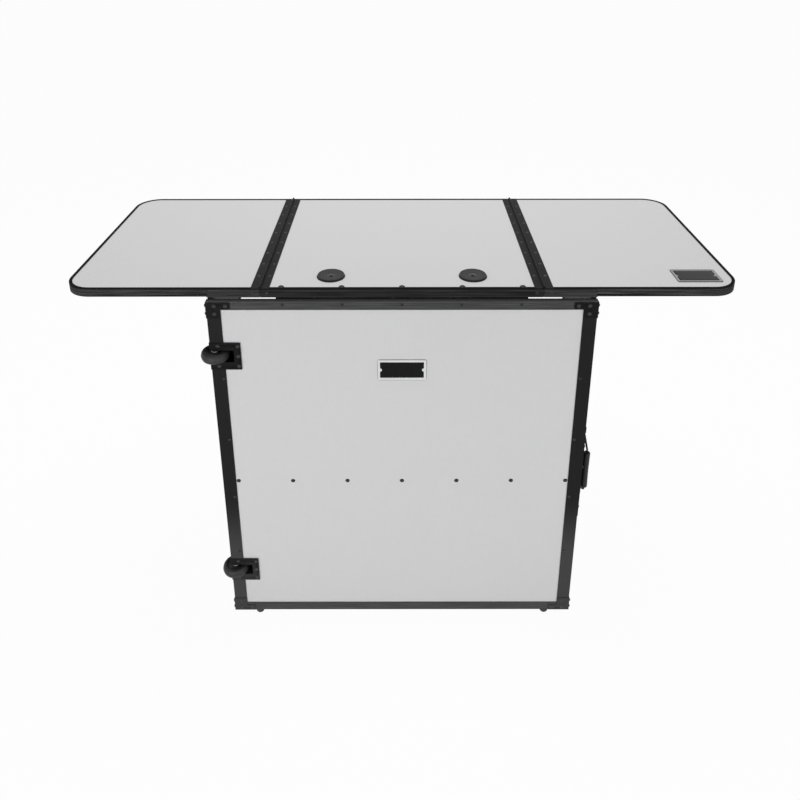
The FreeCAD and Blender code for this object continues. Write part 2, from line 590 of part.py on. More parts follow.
def make_side(side, name):
    """One side panel: board, edging, hinge, rest strip and foot. Made on the left, mirrored for the right."""
    x = (-SIDE_OUTER_X, -SIDE_INNER_X)
    y = (SIDE_FRONT, SIDE_BACK)
    z = (SIDE_BOTTOM, SIDE_TOP)
    board = box(
        (x[0] + EDGING_WALL, x[1] - EDGING_WALL),
        (y[0] + EDGING_WALL, y[1] - EDGING_WALL),
        (z[0] + EDGING_WALL, z[1] - EDGING_WALL),
    )
    stile_z = (z[0] + EDGING_LEG, z[1] - EDGING_LEG)
    window = box(x, (y[0] + EDGING_LEG, y[1] - EDGING_LEG), stile_z)
    ring = box(x, y, z).cut([board, window])
    sections = [
        (y, (z[0], stile_z[0])),
        (y, (stile_z[1], z[1])),
        ((y[0], y[0] + EDGING_LEG), stile_z),
        ((y[1] - EDGING_LEG, y[1]), stile_z),
    ]
    notches = side_notches() if side < 0 else []
    edging = [ring.common(box(x, *part)) for part in sections]
    if notches:
        edging = [piece.cut(notches) for piece in edging]
        board = board.cut(notches)

    runs = side_hinge_runs()
    frame_x = (-SIDE_AXIS_X, -HALF_PANEL + SIDE_TUBE)
    frame_plate = [box(frame_x, (RAIL_DEPTH, RAIL_DEPTH + LEAF_THICKNESS), run) for run in runs]
    side_y = (SIDE_AXIS_Y, SIDE_AXIS_Y + SIDE_LEAF_WIDTH)
    side_plate = [box((-SIDE_INNER_X, -SIDE_INNER_X + LEAF_THICKNESS), side_y, run) for run in runs]
    frame_web = [leaf_web(run, True) for run in runs]
    side_web = [leaf_web(run, False) for run in runs]
    plates = [frame_plate[0].fuse(frame_plate[1:] + frame_web), side_plate[0].fuse(side_plate[1:] + side_web)]
    origin = V(-SIDE_AXIS_X, SIDE_AXIS_Y, 0)
    frame_leaf, side_leaf, pins = hinge(plates, origin, V(0, 0, 1), SIDE_KNUCKLE_RADIUS, runs)

    strip_y = (y[0] + REST_STRIP_INSET, y[1] - REST_STRIP_INSET)
    strip = box(x, strip_y, (SIDE_TOP, SIDE_TOP + REST_STRIP_THICKNESS))
    foot = box(x, (y[1] - EDGING_WALL - SIDE_FOOT_LENGTH, y[1] - EDGING_WALL), (0, SIDE_BOTTOM))
    foot = foot.makeFillet(EDGING_WALL, [e for e in foot.Edges if e.BoundBox.ZMax < EDGING_WALL])

    made = {
        "side_board_": board,
        "side_edging_": group(edging),
        "side_hinge_leaf_": side_leaf,
        "side_rest_strip_": strip,
        "side_foot_": foot,
        "frame_hinge_leaf_": frame_leaf,
        "side_hinge_pins_": pins,
    }
    for stem, shape in made.items():
        PARTS[stem + name] = shape if side < 0 else mirrored(shape)


def leaf_web(run, on_frame):
    """The short step that joins a leaf plate to the knuckle line at the inner corner."""
    knuckle = SIDE_KNUCKLE_RADIUS
    if on_frame:
        x = (-SIDE_AXIS_X, -SIDE_AXIS_X + knuckle)
        return box(x, (RAIL_DEPTH, SIDE_AXIS_Y), run)
    y = (SIDE_AXIS_Y, SIDE_AXIS_Y + knuckle)
    return box((-SIDE_INNER_X, -SIDE_AXIS_X), y, run)


def make_table_hinge():
    """Continuous hinge behind the top rail; its table leaf steps up and lies under the front rim."""
    half = TABLE_HINGE_LENGTH / 2
    span = (-half, half)
    frame_plate = box(span, (RAIL_DEPTH, RAIL_DEPTH + LEAF_THICKNESS), (PANEL_TOP - TOP_TUBE, TABLE_AXIS_Z))
    upright_y = (TABLE_AXIS_Y - LEAF_THICKNESS / 2, TABLE_AXIS_Y + LEAF_THICKNESS / 2)
    upright = box(span, upright_y, (TABLE_AXIS_Z + PIN_RADIUS, TABLE_BOTTOM))
    flange = box(span, (TABLE_LEAF_FRONT, upright_y[1]), (TABLE_BOTTOM - LEAF_THICKNESS, TABLE_BOTTOM))
    table_plate = upright.fuse(flange).removeSplitter()
    origin = V(0, TABLE_AXIS_Y, TABLE_AXIS_Z)
    leaves = hinge([frame_plate, table_plate], origin, V(1, 0, 0), TABLE_KNUCKLE_RADIUS, [span])
    PARTS["table_hinge_leaf_frame"], PARTS["table_hinge_leaf_table"], PARTS["table_hinge_pin"] = leaves


def wing_plan(offset):
    """Outline of the right wing, drawn in by an offset on its three outer sides."""
    low, high = offset, TABLE_DEPTH - offset
    outer = HALF_TABLE - offset
    radius = TABLE_CORNER_RADIUS - offset
    diagonal = radius * (1 - math.sqrt(0.5))
    corners = [V(WING_EDGE, low, 0), V(outer - radius, low, 0), V(outer, low + radius, 0)]
    corners += [V(outer, high - radius, 0), V(outer - radius, high, 0), V(WING_EDGE, high, 0)]
    edges = [
        Part.LineSegment(corners[0], corners[1]).toShape(),
        Part.Arc(corners[1], V(outer - diagonal, low + diagonal, 0), corners[2]).toShape(),
        Part.LineSegment(corners[2], corners[3]).toShape(),
        Part.Arc(corners[3], V(outer - diagonal, high - diagonal, 0), corners[4]).toShape(),
        Part.LineSegment(corners[4], corners[5]).toShape(),
        Part.LineSegment(corners[5], corners[0]).toShape(),
    ]
    return Part.Face(Part.Wire(edges))


def slab(face, low, high):
    solid = face.extrude(V(0, 0, high - low))
    solid.translate(V(0, 0, low))
    return solid


def leaf_rivet_points(x):
    """Rivet places along one wing hinge leaf."""
    count = int((TABLE_DEPTH - 2 * LEAF_RIVET_MARGIN) / LEAF_RIVET_PITCH) + 1
    return [V(x, TABLE_DEPTH / 2 + y, TABLE_TOP) for y in pitched(count, LEAF_RIVET_PITCH)]


def lip_strip(start, end, slanted):
    """Front strip of the table from one X to another, its outer end cut on a slant."""
    low, high = LIP_BOTTOM, LIP_BOTTOM + LIP_HEIGHT
    top_end = end - LIP_END_SLANT if slanted else end
    outline = [V(start, 0, low), V(end, 0, low), V(top_end, 0, high), V(start, 0, high)]
    face = Part.Face(Part.makePolygon(outline + outline[:1]))
    return face.extrude(V(0, -LIP_THICKNESS, 0))


def lip_screw_point(x):
    return V(x, -LIP_THICKNESS, LIP_BOTTOM + LIP_SCREW_HEIGHT)


def make_wings():
    """Both wings with their boards, rims, hinge leaves, front strips and fasteners."""
    board = slab(wing_plan(RIM_WALL), TABLE_BOARD_BOTTOM, TABLE_BOARD_TOP)
    rim = slab(wing_plan(0), TABLE_BOTTOM, TABLE_TOP)
    rim = rim.cut([board, slab(wing_plan(RIM_FLANGE), TABLE_BOTTOM, TABLE_TOP)])
    depth = (0, TABLE_DEPTH)
    leaf_z = (TABLE_BOARD_TOP, TABLE_TOP)
    wing_plate = box((WING_EDGE, WING_EDGE + WING_LEAF_WIDTH), depth, leaf_z)
    centre_plate = box((CENTRE_EDGE - WING_LEAF_WIDTH, CENTRE_EDGE), depth, leaf_z)
    rim = rim.cut(wing_plate)
    run = [(LEAF_JOINT_GAP, TABLE_DEPTH - LEAF_JOINT_GAP)]
    origin = V(JOINT_X, 0, WING_AXIS_Z)
    plates = [centre_plate, wing_plate]
    centre_leaf, wing_leaf, pin = hinge(plates, origin, V(0, 1, 0), WING_KNUCKLE_RADIUS, run)
    rivet_points = leaf_rivet_points(WING_EDGE + LEAF_RIVET_FROM_EDGE)
    rivets, drills = fasteners(rivet_points, V(0, 0, 1), LEAF_RIVET_HEAD, TABLE_THICKNESS / 2)
    lip = lip_strip(WING_EDGE, LIP_SPAN / 2, True)
    screw_point = lip_screw_point(JOINT_X + LIP_SCREW_FROM_JOINT)
    screw_length = LIP_THICKNESS + RIM_WALL * 2
    screws, screw_drills = fasteners([screw_point], V(0, -1, 0), LEAF_RIVET_HEAD, screw_length)
    drills += screw_drills
    made = {
        "wing_board_": board.cut(drills),
        "wing_rim_": rim.cut(drills),
        "wing_hinge_leaf_": wing_leaf.cut(drills),
        "wing_front_strip_": lip.cut(drills),
        "wing_fasteners_": group(rivets + screws),
    }
    for stem, shape in made.items():
        PARTS[stem + "right"] = shape
        PARTS[stem + "left"] = mirrored(shape)
    PARTS["wing_hinge_pins"] = group([pin, mirrored(pin)])
    return centre_leaf


def cable_port():
    """Ring and plug of one cable port, turned about Z with the board's top at Z = 0."""
    depth = TABLE_BOARD_TOP - TABLE_BOARD_BOTTOM
    inner = PORT_BODY_RADIUS - PORT_BODY_WALL
    ring = revolved(
        [
            (inner, -depth),
            (PORT_BODY_RADIUS, -depth),
            (PORT_BODY_RADIUS, 0),
            (PORT_FLANGE_RADIUS, 0),
            (PORT_FLANGE_RADIUS - PORT_FLANGE_HEIGHT / 2, PORT_FLANGE_HEIGHT),
            (inner, PORT_FLANGE_HEIGHT),
        ]
    )
    seat = -depth / 2
    ledge = inner - PORT_BODY_WALL
    plug = revolved(
        [
            (PORT_HOLE_RADIUS, seat),
            (ledge, seat),
            (ledge, PORT_FLANGE_HEIGHT / 2),
            (PORT_CAP_RADIUS, PORT_FLANGE_HEIGHT / 2),
            (PORT_CAP_RADIUS, PORT_FLANGE_HEIGHT),
            (PORT_HOLE_RADIUS + PORT_CAP_DISH, PORT_FLANGE_HEIGHT - PORT_CAP_DISH / 2),
            (PORT_HOLE_RADIUS, PORT_FLANGE_HEIGHT - PORT_CAP_DISH),
        ]
    )
    under = seat - PORT_BODY_WALL
    shelf = revolved([(ledge, under), (inner, under), (inner, seat), (ledge, seat)])
    return ring.fuse(shelf).removeSplitter(), plug


def make_centre(centre_leaf):
    """Centre leaf: board, front and back rims, hinge leaves, front strip, cable ports, bolts."""
    span = (-CENTRE_EDGE, CENTRE_EDGE)
    board = box(span, (RIM_WALL, TABLE_DEPTH - RIM_WALL), (TABLE_BOARD_BOTTOM, TABLE_BOARD_TOP))
    rims = []
    leaves = [centre_leaf, mirrored(centre_leaf)]
    for y in ((0, RIM_FLANGE), (TABLE_DEPTH - RIM_FLANGE, TABLE_DEPTH)):
        rim = box(span, y, (TABLE_BOTTOM, TABLE_TOP)).cut(board)
        for side in (-1, 1):
            x = sorted((side * (CENTRE_EDGE - WING_LEAF_WIDTH), side * CENTRE_EDGE))
            rim = rim.cut(box(x, y, (TABLE_BOARD_TOP, TABLE_TOP)))
        rims.append(rim)

    up = V(0, 0, 1)
    shank = TABLE_THICKNESS / 2
    bolt_points = [V(x, TABLE_BOLT_FROM_FRONT, TABLE_TOP) for x in pitched(ROW_RIVETS, TABLE_BOLT_PITCH)]
    pieces, drills = fasteners(bolt_points, up, TABLE_BOLT_HEAD, shank)
    for side in (-1, 1):
        points = leaf_rivet_points(side * (CENTRE_EDGE - LEAF_RIVET_FROM_EDGE))
        made, holes = fasteners(points, up, LEAF_RIVET_HEAD, shank)
        point = lip_screw_point(side * (JOINT_X - LIP_SCREW_FROM_JOINT))
        screw, hole = fasteners([point], V(0, -1, 0), LEAF_RIVET_HEAD, LIP_THICKNESS + RIM_WALL * 2)
        pieces += made + screw
        drills += holes + hole

    ring, plug = cable_port()
    port_holes = []
    for side, name in ((-1, "left"), (1, "right")):
        place = V(side * PORT_FROM_CENTRE, PORT_FROM_FRONT, TABLE_BOARD_TOP)
        PARTS["cable_port_ring_" + name] = aimed(ring, place, up)
        PARTS["cable_port_plug_" + name] = aimed(plug, place, up)
        hole_radius = PORT_BODY_RADIUS + SHANK_CLEARANCE
        port_holes.append(rod(hole_radius, place - V(0, 0, TABLE_THICKNESS), place + V(0, 0, 1)))

    PARTS["centre_board"] = board.cut(drills + port_holes)
    PARTS["centre_rims"] = group(rim.cut(drills) for rim in rims)
    PARTS["centre_hinge_leaves"] = group(leaf.cut(drills) for leaf in leaves)
    PARTS["centre_front_strip"] = lip_strip(-CENTRE_EDGE, CENTRE_EDGE, False).cut(drills)
    PARTS["table_fasteners"] = group(pieces)


def name_plate(size):
    """A bare plate of a (width, height) with a raised border, lying at Z = 0."""
    outer_x, outer_y = size[0] / 2, size[1] / 2
    plate = box((-outer_x, outer_x), (-outer_y, outer_y), (0, PLATE_THICKNESS))
    corners = [edge for edge in plate.Edges if edge.BoundBox.ZLength > PLATE_THICKNESS / 2]
    plate = plate.makeFillet(PLATE_CORNER_RADIUS, corners)
    half_x, half_y = outer_x - PLATE_BORDER, outer_y - PLATE_BORDER
    field = box((-half_x, half_x), (-half_y, half_y), (PLATE_THICKNESS - PLATE_FIELD_DEPTH, PLATE_THICKNESS))
    return plate.cut(field)


def make_plates():
    """The bare name plates on the front board and on the right wing."""
    front = name_plate(FRONT_PLATE_SIZE)
    front.rotate(V(0, 0, 0), V(1, 0, 0), 90)
    front.translate(V(0, RAIL_WALL, FRONT_PLATE_ABOVE_FLOOR))
    PARTS["name_plate_front"] = front
    wing = name_plate(WING_PLATE_SIZE)
    wing.translate(V(HALF_TABLE - WING_PLATE_FROM_SIDE, WING_PLATE_FROM_FRONT, TABLE_BOARD_TOP))
    PARTS["name_plate_wing"] = wing


def build():
    screws = make_frame()
    make_wheels(screws)
    make_feet()
    make_handle_plate(screws)
    PARTS["frame_screws"] = group(screws)
    make_handle()
    make_side(-1, "left")
    make_side(1, "right")
    make_table_hinge()
    make_centre(make_wings())
    make_plates()


def write():
    """Moves every piece so that the origin is under the middle, and writes one file each."""
    os.makedirs("parts", exist_ok=True)
    for name, shape in PARTS.items():
        placed = shape.copy()
        placed.translate(V(0, -MIDDLE_Y, 0))
        placed.exportStep("parts/" + name + ".step")
        print(name, len(placed.Solids), "solids", "valid" if placed.isValid() else "NOT VALID")


build()
write()
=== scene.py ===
import math

import bmesh
import bpy
import numpy as np
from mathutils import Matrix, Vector


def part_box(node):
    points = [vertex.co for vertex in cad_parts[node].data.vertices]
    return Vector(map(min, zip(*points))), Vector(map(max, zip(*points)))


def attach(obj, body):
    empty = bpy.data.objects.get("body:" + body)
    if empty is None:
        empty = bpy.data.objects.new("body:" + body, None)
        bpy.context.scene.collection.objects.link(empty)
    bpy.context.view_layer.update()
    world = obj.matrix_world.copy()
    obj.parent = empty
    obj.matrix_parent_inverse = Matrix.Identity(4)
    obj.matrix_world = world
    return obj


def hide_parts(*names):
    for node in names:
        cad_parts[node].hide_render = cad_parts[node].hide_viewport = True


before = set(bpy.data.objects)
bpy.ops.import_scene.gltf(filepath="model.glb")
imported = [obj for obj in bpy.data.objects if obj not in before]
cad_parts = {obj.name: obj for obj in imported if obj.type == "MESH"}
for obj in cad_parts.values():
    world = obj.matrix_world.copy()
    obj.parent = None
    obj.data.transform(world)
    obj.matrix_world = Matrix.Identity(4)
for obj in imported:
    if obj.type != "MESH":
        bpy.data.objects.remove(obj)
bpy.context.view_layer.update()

bl_info = {
    "name": "Fold-out booth finish",
    "version": (1, 0, 0),
    "blender": (4, 5, 0),
    "location": "View3D > Sidebar > Booth",
    "description": "Finishes and small pieces of a fold-out performer's booth",
    "category": "Object",
}

MM = 0.001
SIDES = ("left", "right")
X, Y, Z = Vector((1, 0, 0)), Vector((0, 1, 0)), Vector((0, 0, 1))
FRONT_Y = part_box("frame_rail_top")[0].y
WELD_DISTANCE = 0.005 * MM
POLE_WELD_DISTANCE = 0.2 * WELD_DISTANCE
BEVEL_ANGLE = math.radians(40)
BEVEL_SEGMENTS = 2

# The boards' pale skin, measured in from their faces.
BACK_MARGIN = 1.0 * MM
SKIN_CLOUD = 9.0 * MM

# What three added cosines run between, and what most of a noise runs between.
HONEYCOMB_RANGE = {"From Min": -1.5, "From Max": 3.0}
NOISE_RANGE = {"From Min": 0.3, "From Max": 0.7}

# Grooves along the extrusions lie where a wave is lowest, and they are painted darker there as painted shade.
# The die lines change little along their length.
UPRIGHT_GROOVE = 10.0 * MM
LEVEL_GROOVE = 6.5 * MM
STRIP_GROOVE = 8.0 * MM
GROOVE_RELIEF = 0.3 * MM
GROOVE_CREST = {"From Min": -0.97, "From Max": -0.75}
DIE_LINE_CHANGE = 0.04

# Grained surfaces: size of the worn clouds, and how far the roughness swings.
WEAR_CLOUD = 60.0 * MM
ROUGHNESS_SWING = 0.06

# Small forms.
SCREW_HEAD = 2.2 * MM
SIDE_SCREW_HEAD = 3.4 * MM
RECESS_SHARE = 0.62
RECESS_RISE = 0.06 * MM
RECESS_STEPS = 32
PLATE_RECESS = 0.6 * MM
PLATE_BORDER_ACROSS = 6.3 * MM
PLATE_BORDER_UP = 7.0 * MM
PLATE_BITE = 4.4 * MM
PLATE_SHADE_LINE = 1.1 * MM
PLATE_ROUND = 0.4 * MM
FIELD_FILL = 0.8
FIELD_POWER = 12
FIELD_UNDERSIDE = -0.1
FIELD_COLUMNS = 33
FIELD_ROWS = 61
STUD_SHARE = 0.7
STUD_RISE = 1.5
STUD_STEPS = 24
STUD_POINTS = 9
TYRE_STEPS = 96
TYRE_POINTS = 41
TYRE_RIDGE = 0.35 * MM
TYRE_RIDGE_TURN = 0.10
TYRE_CROWN_SHARE = 0.28
TYRE_WALL_STEP = 2.4 * MM
TYRE_WALL_GROOVE = 0.6 * MM
BUSH_MIDDLE = 7.4 * MM
BUSH_TUBE = 1.9 * MM
BUSH_STEPS = 32
BUSH_POINTS = 17
FINGERS = 8
FINGER_STEPS = 24
FINGER_POINTS = 12
FINGER_REACH = 9.6 * MM
FINGER_TIP = 5.4 * MM
FINGER_DROOP = 4.6 * MM
FINGER_SLIT = 1.3 * MM
FINGER_SLIT_WIDTH = 0.35
FINGER_SHEET = 0.8 * MM
FINGER_BELOW_TOP = 1.6 * MM
GRIP_ROUND = 2.5 * MM
GRIP_WAIST = 0.5 * MM
GRIP_GROOVE = 0.45 * MM
GRIP_GROOVES = 9
GRIP_GROOVE_POWER = 6
GRIP_GROOVED_SHARE = 0.9
GRIP_WIDTH_TO_BORE = 6
GRIP_STEPS = 64
GRIP_POINTS = 145
GRIP_END_POINTS = 8

# Dust thickens between these heights, in metres, on uprights and brackets. The top rail's top face is painted
# light grey this deep, as painted light.
UPRIGHT_DUST = (0.40, 0.20)
BRACKET_DUST = (0.25, 0.05)
PAINTED_TOP_LIGHT_DEPTH = 0.1 * MM

# Studio: what the camera sees of the floor is mostly even white, and the rest is the light that falls there.
FLOOR_REACH = 60.0
FLOOR_COLOUR = "#F4F4F4"
FLOOR_SHARE = 0.96
WORLD_LIGHT = 0.42
SENSOR_WIDTH = 36.0
LAMP_TARGET = Vector((0, 0, 0.3))
LAMPS = (
    ("key", Vector((-1.6, -3.4, 0.3)), (2.5, 0.5), 49),
    ("fill", Vector((2.2, -3.2, 0.3)), (2.5, 0.5), 30),
    ("top", Vector((0.0, 0.6, 3.4)), (3.0, 3.0), 50),
)


def linear(hex_colour):
    """A hex sRGB colour as linear red, green, blue and alpha."""
    values = np.array([int(hex_colour[i : i + 2], 16) for i in (1, 3, 5)]) / 255
    curve = np.where(values <= 0.04045, values / 12.92, ((values + 0.055) / 1.055) ** 2.4)
    return (*(float(v) for v in curve), 1.0)


def paint(name, description, hex_colour):
    """A colour that a user may change, with its hex default."""
    return bpy.props.FloatVectorProperty(
        name=name, description=description, default=linear(hex_colour), size=4, min=0, max=1, subtype="COLOR"
    )


def length(name, description, millimetres):
    """A length that a user may change, with its default in millimetres."""
    return bpy.props.FloatProperty(
        name=name, description=description, default=millimetres * MM, min=0.01 * MM, unit="LENGTH"
    )


class BoothFinish(bpy.types.PropertyGroup):
    """Colours of the finishes and sizes of their patterns."""

    panel: paint("Panel", "Laminate of the front and the sides", "#C9C9CA")
    table: paint("Table", "Laminate of the table top", "#D2D2D2")
    backing_and_shade: paint("Backing", "Backing sheet of the boards, darkened as painted shade", "#0D0D0E")
    upright: paint("Uprights", "Extrusions of the frame that stand", "#0E0E0E")
    level: paint("Level rails", "Extrusions of the frame that lie", "#3A3A3A")
    rim: paint("Rims", "Extrusions round the table top", "#353535")
    strip: paint("Centre strip", "Strip along the front edge of the table's centre", "#2A2A2A")
    wing_strip: paint("Wing strips", "Strips along the front edge of the wings", "#383838")
    hinge: paint("Hinges", "Coated hinge leaves", "#141414")
    steel: paint("Drawn steel", "Hinge pins", "#CBCBCD")
    bush: paint("Turned steel", "Axles and bushes of the wheels", "#9C9C9E")
    bracket: paint("Brackets", "Powder coat of the sheet brackets", "#080808")
    bolt: paint("Bolts", "Black oxide of the bolts and rivets", "#141414")
    screw: paint("Screws", "Black zinc of the screws", "#2A2A2A")
    tyre: paint("Tyres", "Rubber of the wheels", "#232323")
    # Painted light: the hubs are coloured lighter, against the shadow under the wheel dishes.
    hub: paint("Hubs", "Nylon of the wheels, lightened as painted light", "#2E2E2E")
    foot: paint("Feet", "Rubber of the feet and rest strips", "#424242")
    wire: paint("Wire", "Coated wire of the handle", "#121212")
    grip: paint("Grip", "Plastic of the handle's grip", "#1C1C1C")
    # Painted highlight: the fingers are coloured a lighter grey, for the highlight where they bend.
    finger: paint("Port fingers, painted highlight", "Rubber fingers in the cable ports, lightened as painted highlight", "#545454")
    port: paint("Ports", "Plastic of the cable ports", "#212121")
    plate: paint("Front plate", "Border of the plate on the panel", "#D2D2D3")
    plate_shade_line: paint("Front plate shade line", "Painted shade line round the plate on the panel", "#8A8A8A")
    wing_plate: paint("Wing plate", "Border of the plate on the wing", "#8E8E90")
    wing_plate_shade_line: paint("Wing plate shade line", "Painted shade line round the plate on the wing", "#2A2A2A")
    enamel: paint("Enamel", "Field of the bare plates", "#0A0A0A")
    dust: paint("Dust", "Film of dust on what is near the floor", "#393939")
    # Painted light: a light grey laid on the top rail's top face, for light that falls there under the table.
    painted_top_light: paint("Painted top light", "Top face of the top rail, painted light grey as painted light", "#A8A8A8")
    emboss_pitch: length("Emboss pitch", "Spacing of the laminate's honeycomb", 5.5)
    emboss_depth: length("Emboss depth", "Depth of the laminate's honeycomb", 0.1)
    draw_line: length("Draw line", "Spacing of the die lines along the extrusions", 4.0)
    powder_grain: length("Powder grain", "Grain of the powder coat", 1.4)
    rubber_grain: length("Rubber grain", "Grain of the moulded rubber", 1.0)
    plastic_grain: length("Plastic grain", "Spark texture of the moulded plastic", 1.2)
    edge_round: length("Edge round", "Rounding of the metal edges", 0.6)


class BoothView(bpy.types.PropertyGroup):
    """Where the camera stands and what lens it has."""

    camera_side: bpy.props.FloatProperty(
        name="Camera side", description="Sideways place of the camera", default=-0.00437, unit="LENGTH"
    )
    camera_from_front: bpy.props.FloatProperty(
        name="Camera distance", description="Distance in front of the panel", default=1.54267, unit="LENGTH"
    )
    camera_height: bpy.props.FloatProperty(
        name="Camera height", description="Height above the floor", default=1.76969, unit="LENGTH"
    )
    camera_pitch: bpy.props.FloatProperty(
        name="Camera pitch",
        description="Tilt below the horizon",
        default=math.radians(20.20),
        subtype="ANGLE",
    )
    camera_yaw: bpy.props.FloatProperty(
        name="Camera yaw", description="Turn to the left", default=math.radians(-0.02), subtype="ANGLE"
    )
    camera_roll: bpy.props.FloatProperty(
        name="Camera roll", description="Lean of the camera", default=math.radians(0.05), subtype="ANGLE"
    )
    lens: bpy.props.FloatProperty(
        name="Lens", description="Focal length on a 36 mm sensor, in mm", default=34.03, unit="CAMERA"
    )
    rise: bpy.props.FloatProperty(
        name="Rise", description="Shift of the lens as a share of the frame", default=-0.25, subtype="FACTOR"
    )


def add_node(tree, kind, inputs=None, **settings):
    """Adds a node, sets its fields, and fills each input with a value or a link."""
    node = tree.nodes.new(kind)
    for field, value in settings.items():
        setattr(node, field, value)
    for key, value in (inputs or {}).items():
        if isinstance(value, bpy.types.NodeSocket):
            tree.links.new(value, node.inputs[key])
        else:
            node.inputs[key].default_value = value
    return node


def new_material(name):
    """An empty material with its node tree, its Object coordinates and its shader."""
    material = bpy.data.materials.new(name)
    material.use_nodes = True
    tree = material.node_tree
    tree.nodes.clear()
    place = add_node(tree, "ShaderNodeTexCoord").outputs["Object"]
    shader = add_node(tree, "ShaderNodeBsdfPrincipled")
    add_node(tree, "ShaderNodeOutputMaterial", {"Surface": shader.outputs["BSDF"]})
    return material, tree, place, shader


def shades(colour, contrast):
    """A darker and a lighter shade of one colour, for a pattern to run between."""
    dark = [channel * (1 - contrast) for channel in colour[:3]]
    light = [min(channel * (1 + contrast), 1.0) for channel in colour[:3]]
    return {"A": (*dark, 1.0), "B": (*light, 1.0)}


def honeycomb(tree, place, across, up, pitch):
    """Three cosine waves at 60 degrees added together: a field of hexagonal dimples from -1.5 to 3."""
    wave = 2 * math.pi / (pitch * math.sqrt(3) / 2)
    total = None
    for turn in (0, 60, 120):
        heading = math.cos(math.radians(turn)) * across + math.sin(math.radians(turn)) * up
        phase = add_node(tree, "ShaderNodeVectorMath", {0: place, 1: heading * wave}, operation="DOT_PRODUCT")
        crest = add_node(tree, "ShaderNodeMath", {0: phase.outputs["Value"]}, operation="COSINE").outputs[0]
        if total is None:
            total = crest
        else:
            total = add_node(tree, "ShaderNodeMath", {0: total, 1: crest}, operation="ADD").outputs[0]
    return total


# High-pressure laminate, pressed against an embossed plate: a soft even sheen, broken by small dimples that
# stay nearly the colour of the sheet. The honeycomb is drawn about twice its real size, so that it shows.
# Only the outer face is pale: what lies deeper than a margin is the black back sheet, darkened as painted
# shade.
def laminate(name, colour, across, up, outward, face_at):
    finish = bpy.context.scene.booth_finish
    material, tree, place, shader = new_material(name)
    cells = honeycomb(tree, place, across, up, finish.emboss_pitch)
    cloud = {"Vector": place, "Scale": 1 / SKIN_CLOUD, "Detail": 3.0}
    grain = add_node(tree, "ShaderNodeTexNoise", cloud).outputs["Fac"]
    dimple = add_node(tree, "ShaderNodeMapRange", {"Value": cells, **HONEYCOMB_RANGE})
    inputs = {0: dimple.outputs["Result"], 1: grain}
    mottle = add_node(tree, "ShaderNodeMath", inputs, operation="MULTIPLY").outputs[0]
    amount = add_node(tree, "ShaderNodeMapRange", {"Value": mottle, "From Max": 0.5}).outputs["Result"]
    inputs = {"Factor": amount, **shades(colour, 0.035)}
    pale = add_node(tree, "ShaderNodeMix", inputs, data_type="RGBA").outputs["Result"]
    # Painted shade: the black back sheet is darkened further, for the shade on the boards' inner faces and
    # underside.
    inputs = {"Factor": grain, **shades(finish.backing_and_shade, 0.3)}
    backing_and_shade = add_node(tree, "ShaderNodeMix", inputs, data_type="RGBA").outputs["Result"]
    depth = add_node(tree, "ShaderNodeVectorMath", {0: place, 1: outward}, operation="DOT_PRODUCT")
    inputs = {0: depth.outputs["Value"], 1: face_at}
    shows = add_node(tree, "ShaderNodeMath", inputs, operation="GREATER_THAN").outputs[0]
    inputs = {"Factor": shows, "A": backing_and_shade, "B": pale}
    skin = add_node(tree, "ShaderNodeMix", inputs, data_type="RGBA").outputs["Result"]
    tree.links.new(skin, shader.inputs["Base Color"])
    inputs = {"Value": grain, **NOISE_RANGE, "To Min": 0.5, "To Max": 0.6}
    rough = add_node(tree, "ShaderNodeMapRange", inputs).outputs["Result"]
    tree.links.new(rough, shader.inputs["Roughness"])
    shader.inputs["Specular IOR Level"].default_value = 0.2
    bump = {"Height": cells, "Strength": 0.2, "Distance": finish.emboss_depth}
    tree.links.new(add_node(tree, "ShaderNodeBump", bump).outputs["Normal"], shader.inputs["Normal"])
    return material


def dust_and_light_filmed(tree, place, clean, dust_and_light_film):
    """Lays a colour over another, for dust and for painted light: none of it at the first height, all of it
    from the second height on.
    """
    colour, start, full = dust_and_light_film
    height = add_node(tree, "ShaderNodeSeparateXYZ", {"Vector": place}).outputs["Z"]
    inputs = {"Value": height, "From Min": start, "From Max": full}
    amount = add_node(tree, "ShaderNodeMapRange", inputs, interpolation_type="SMOOTHSTEP").outputs["Result"]
    inputs = {"Factor": amount, "A": clean, "B": colour}
    return add_node(tree, "ShaderNodeMix", inputs, data_type="RGBA").outputs["Result"]
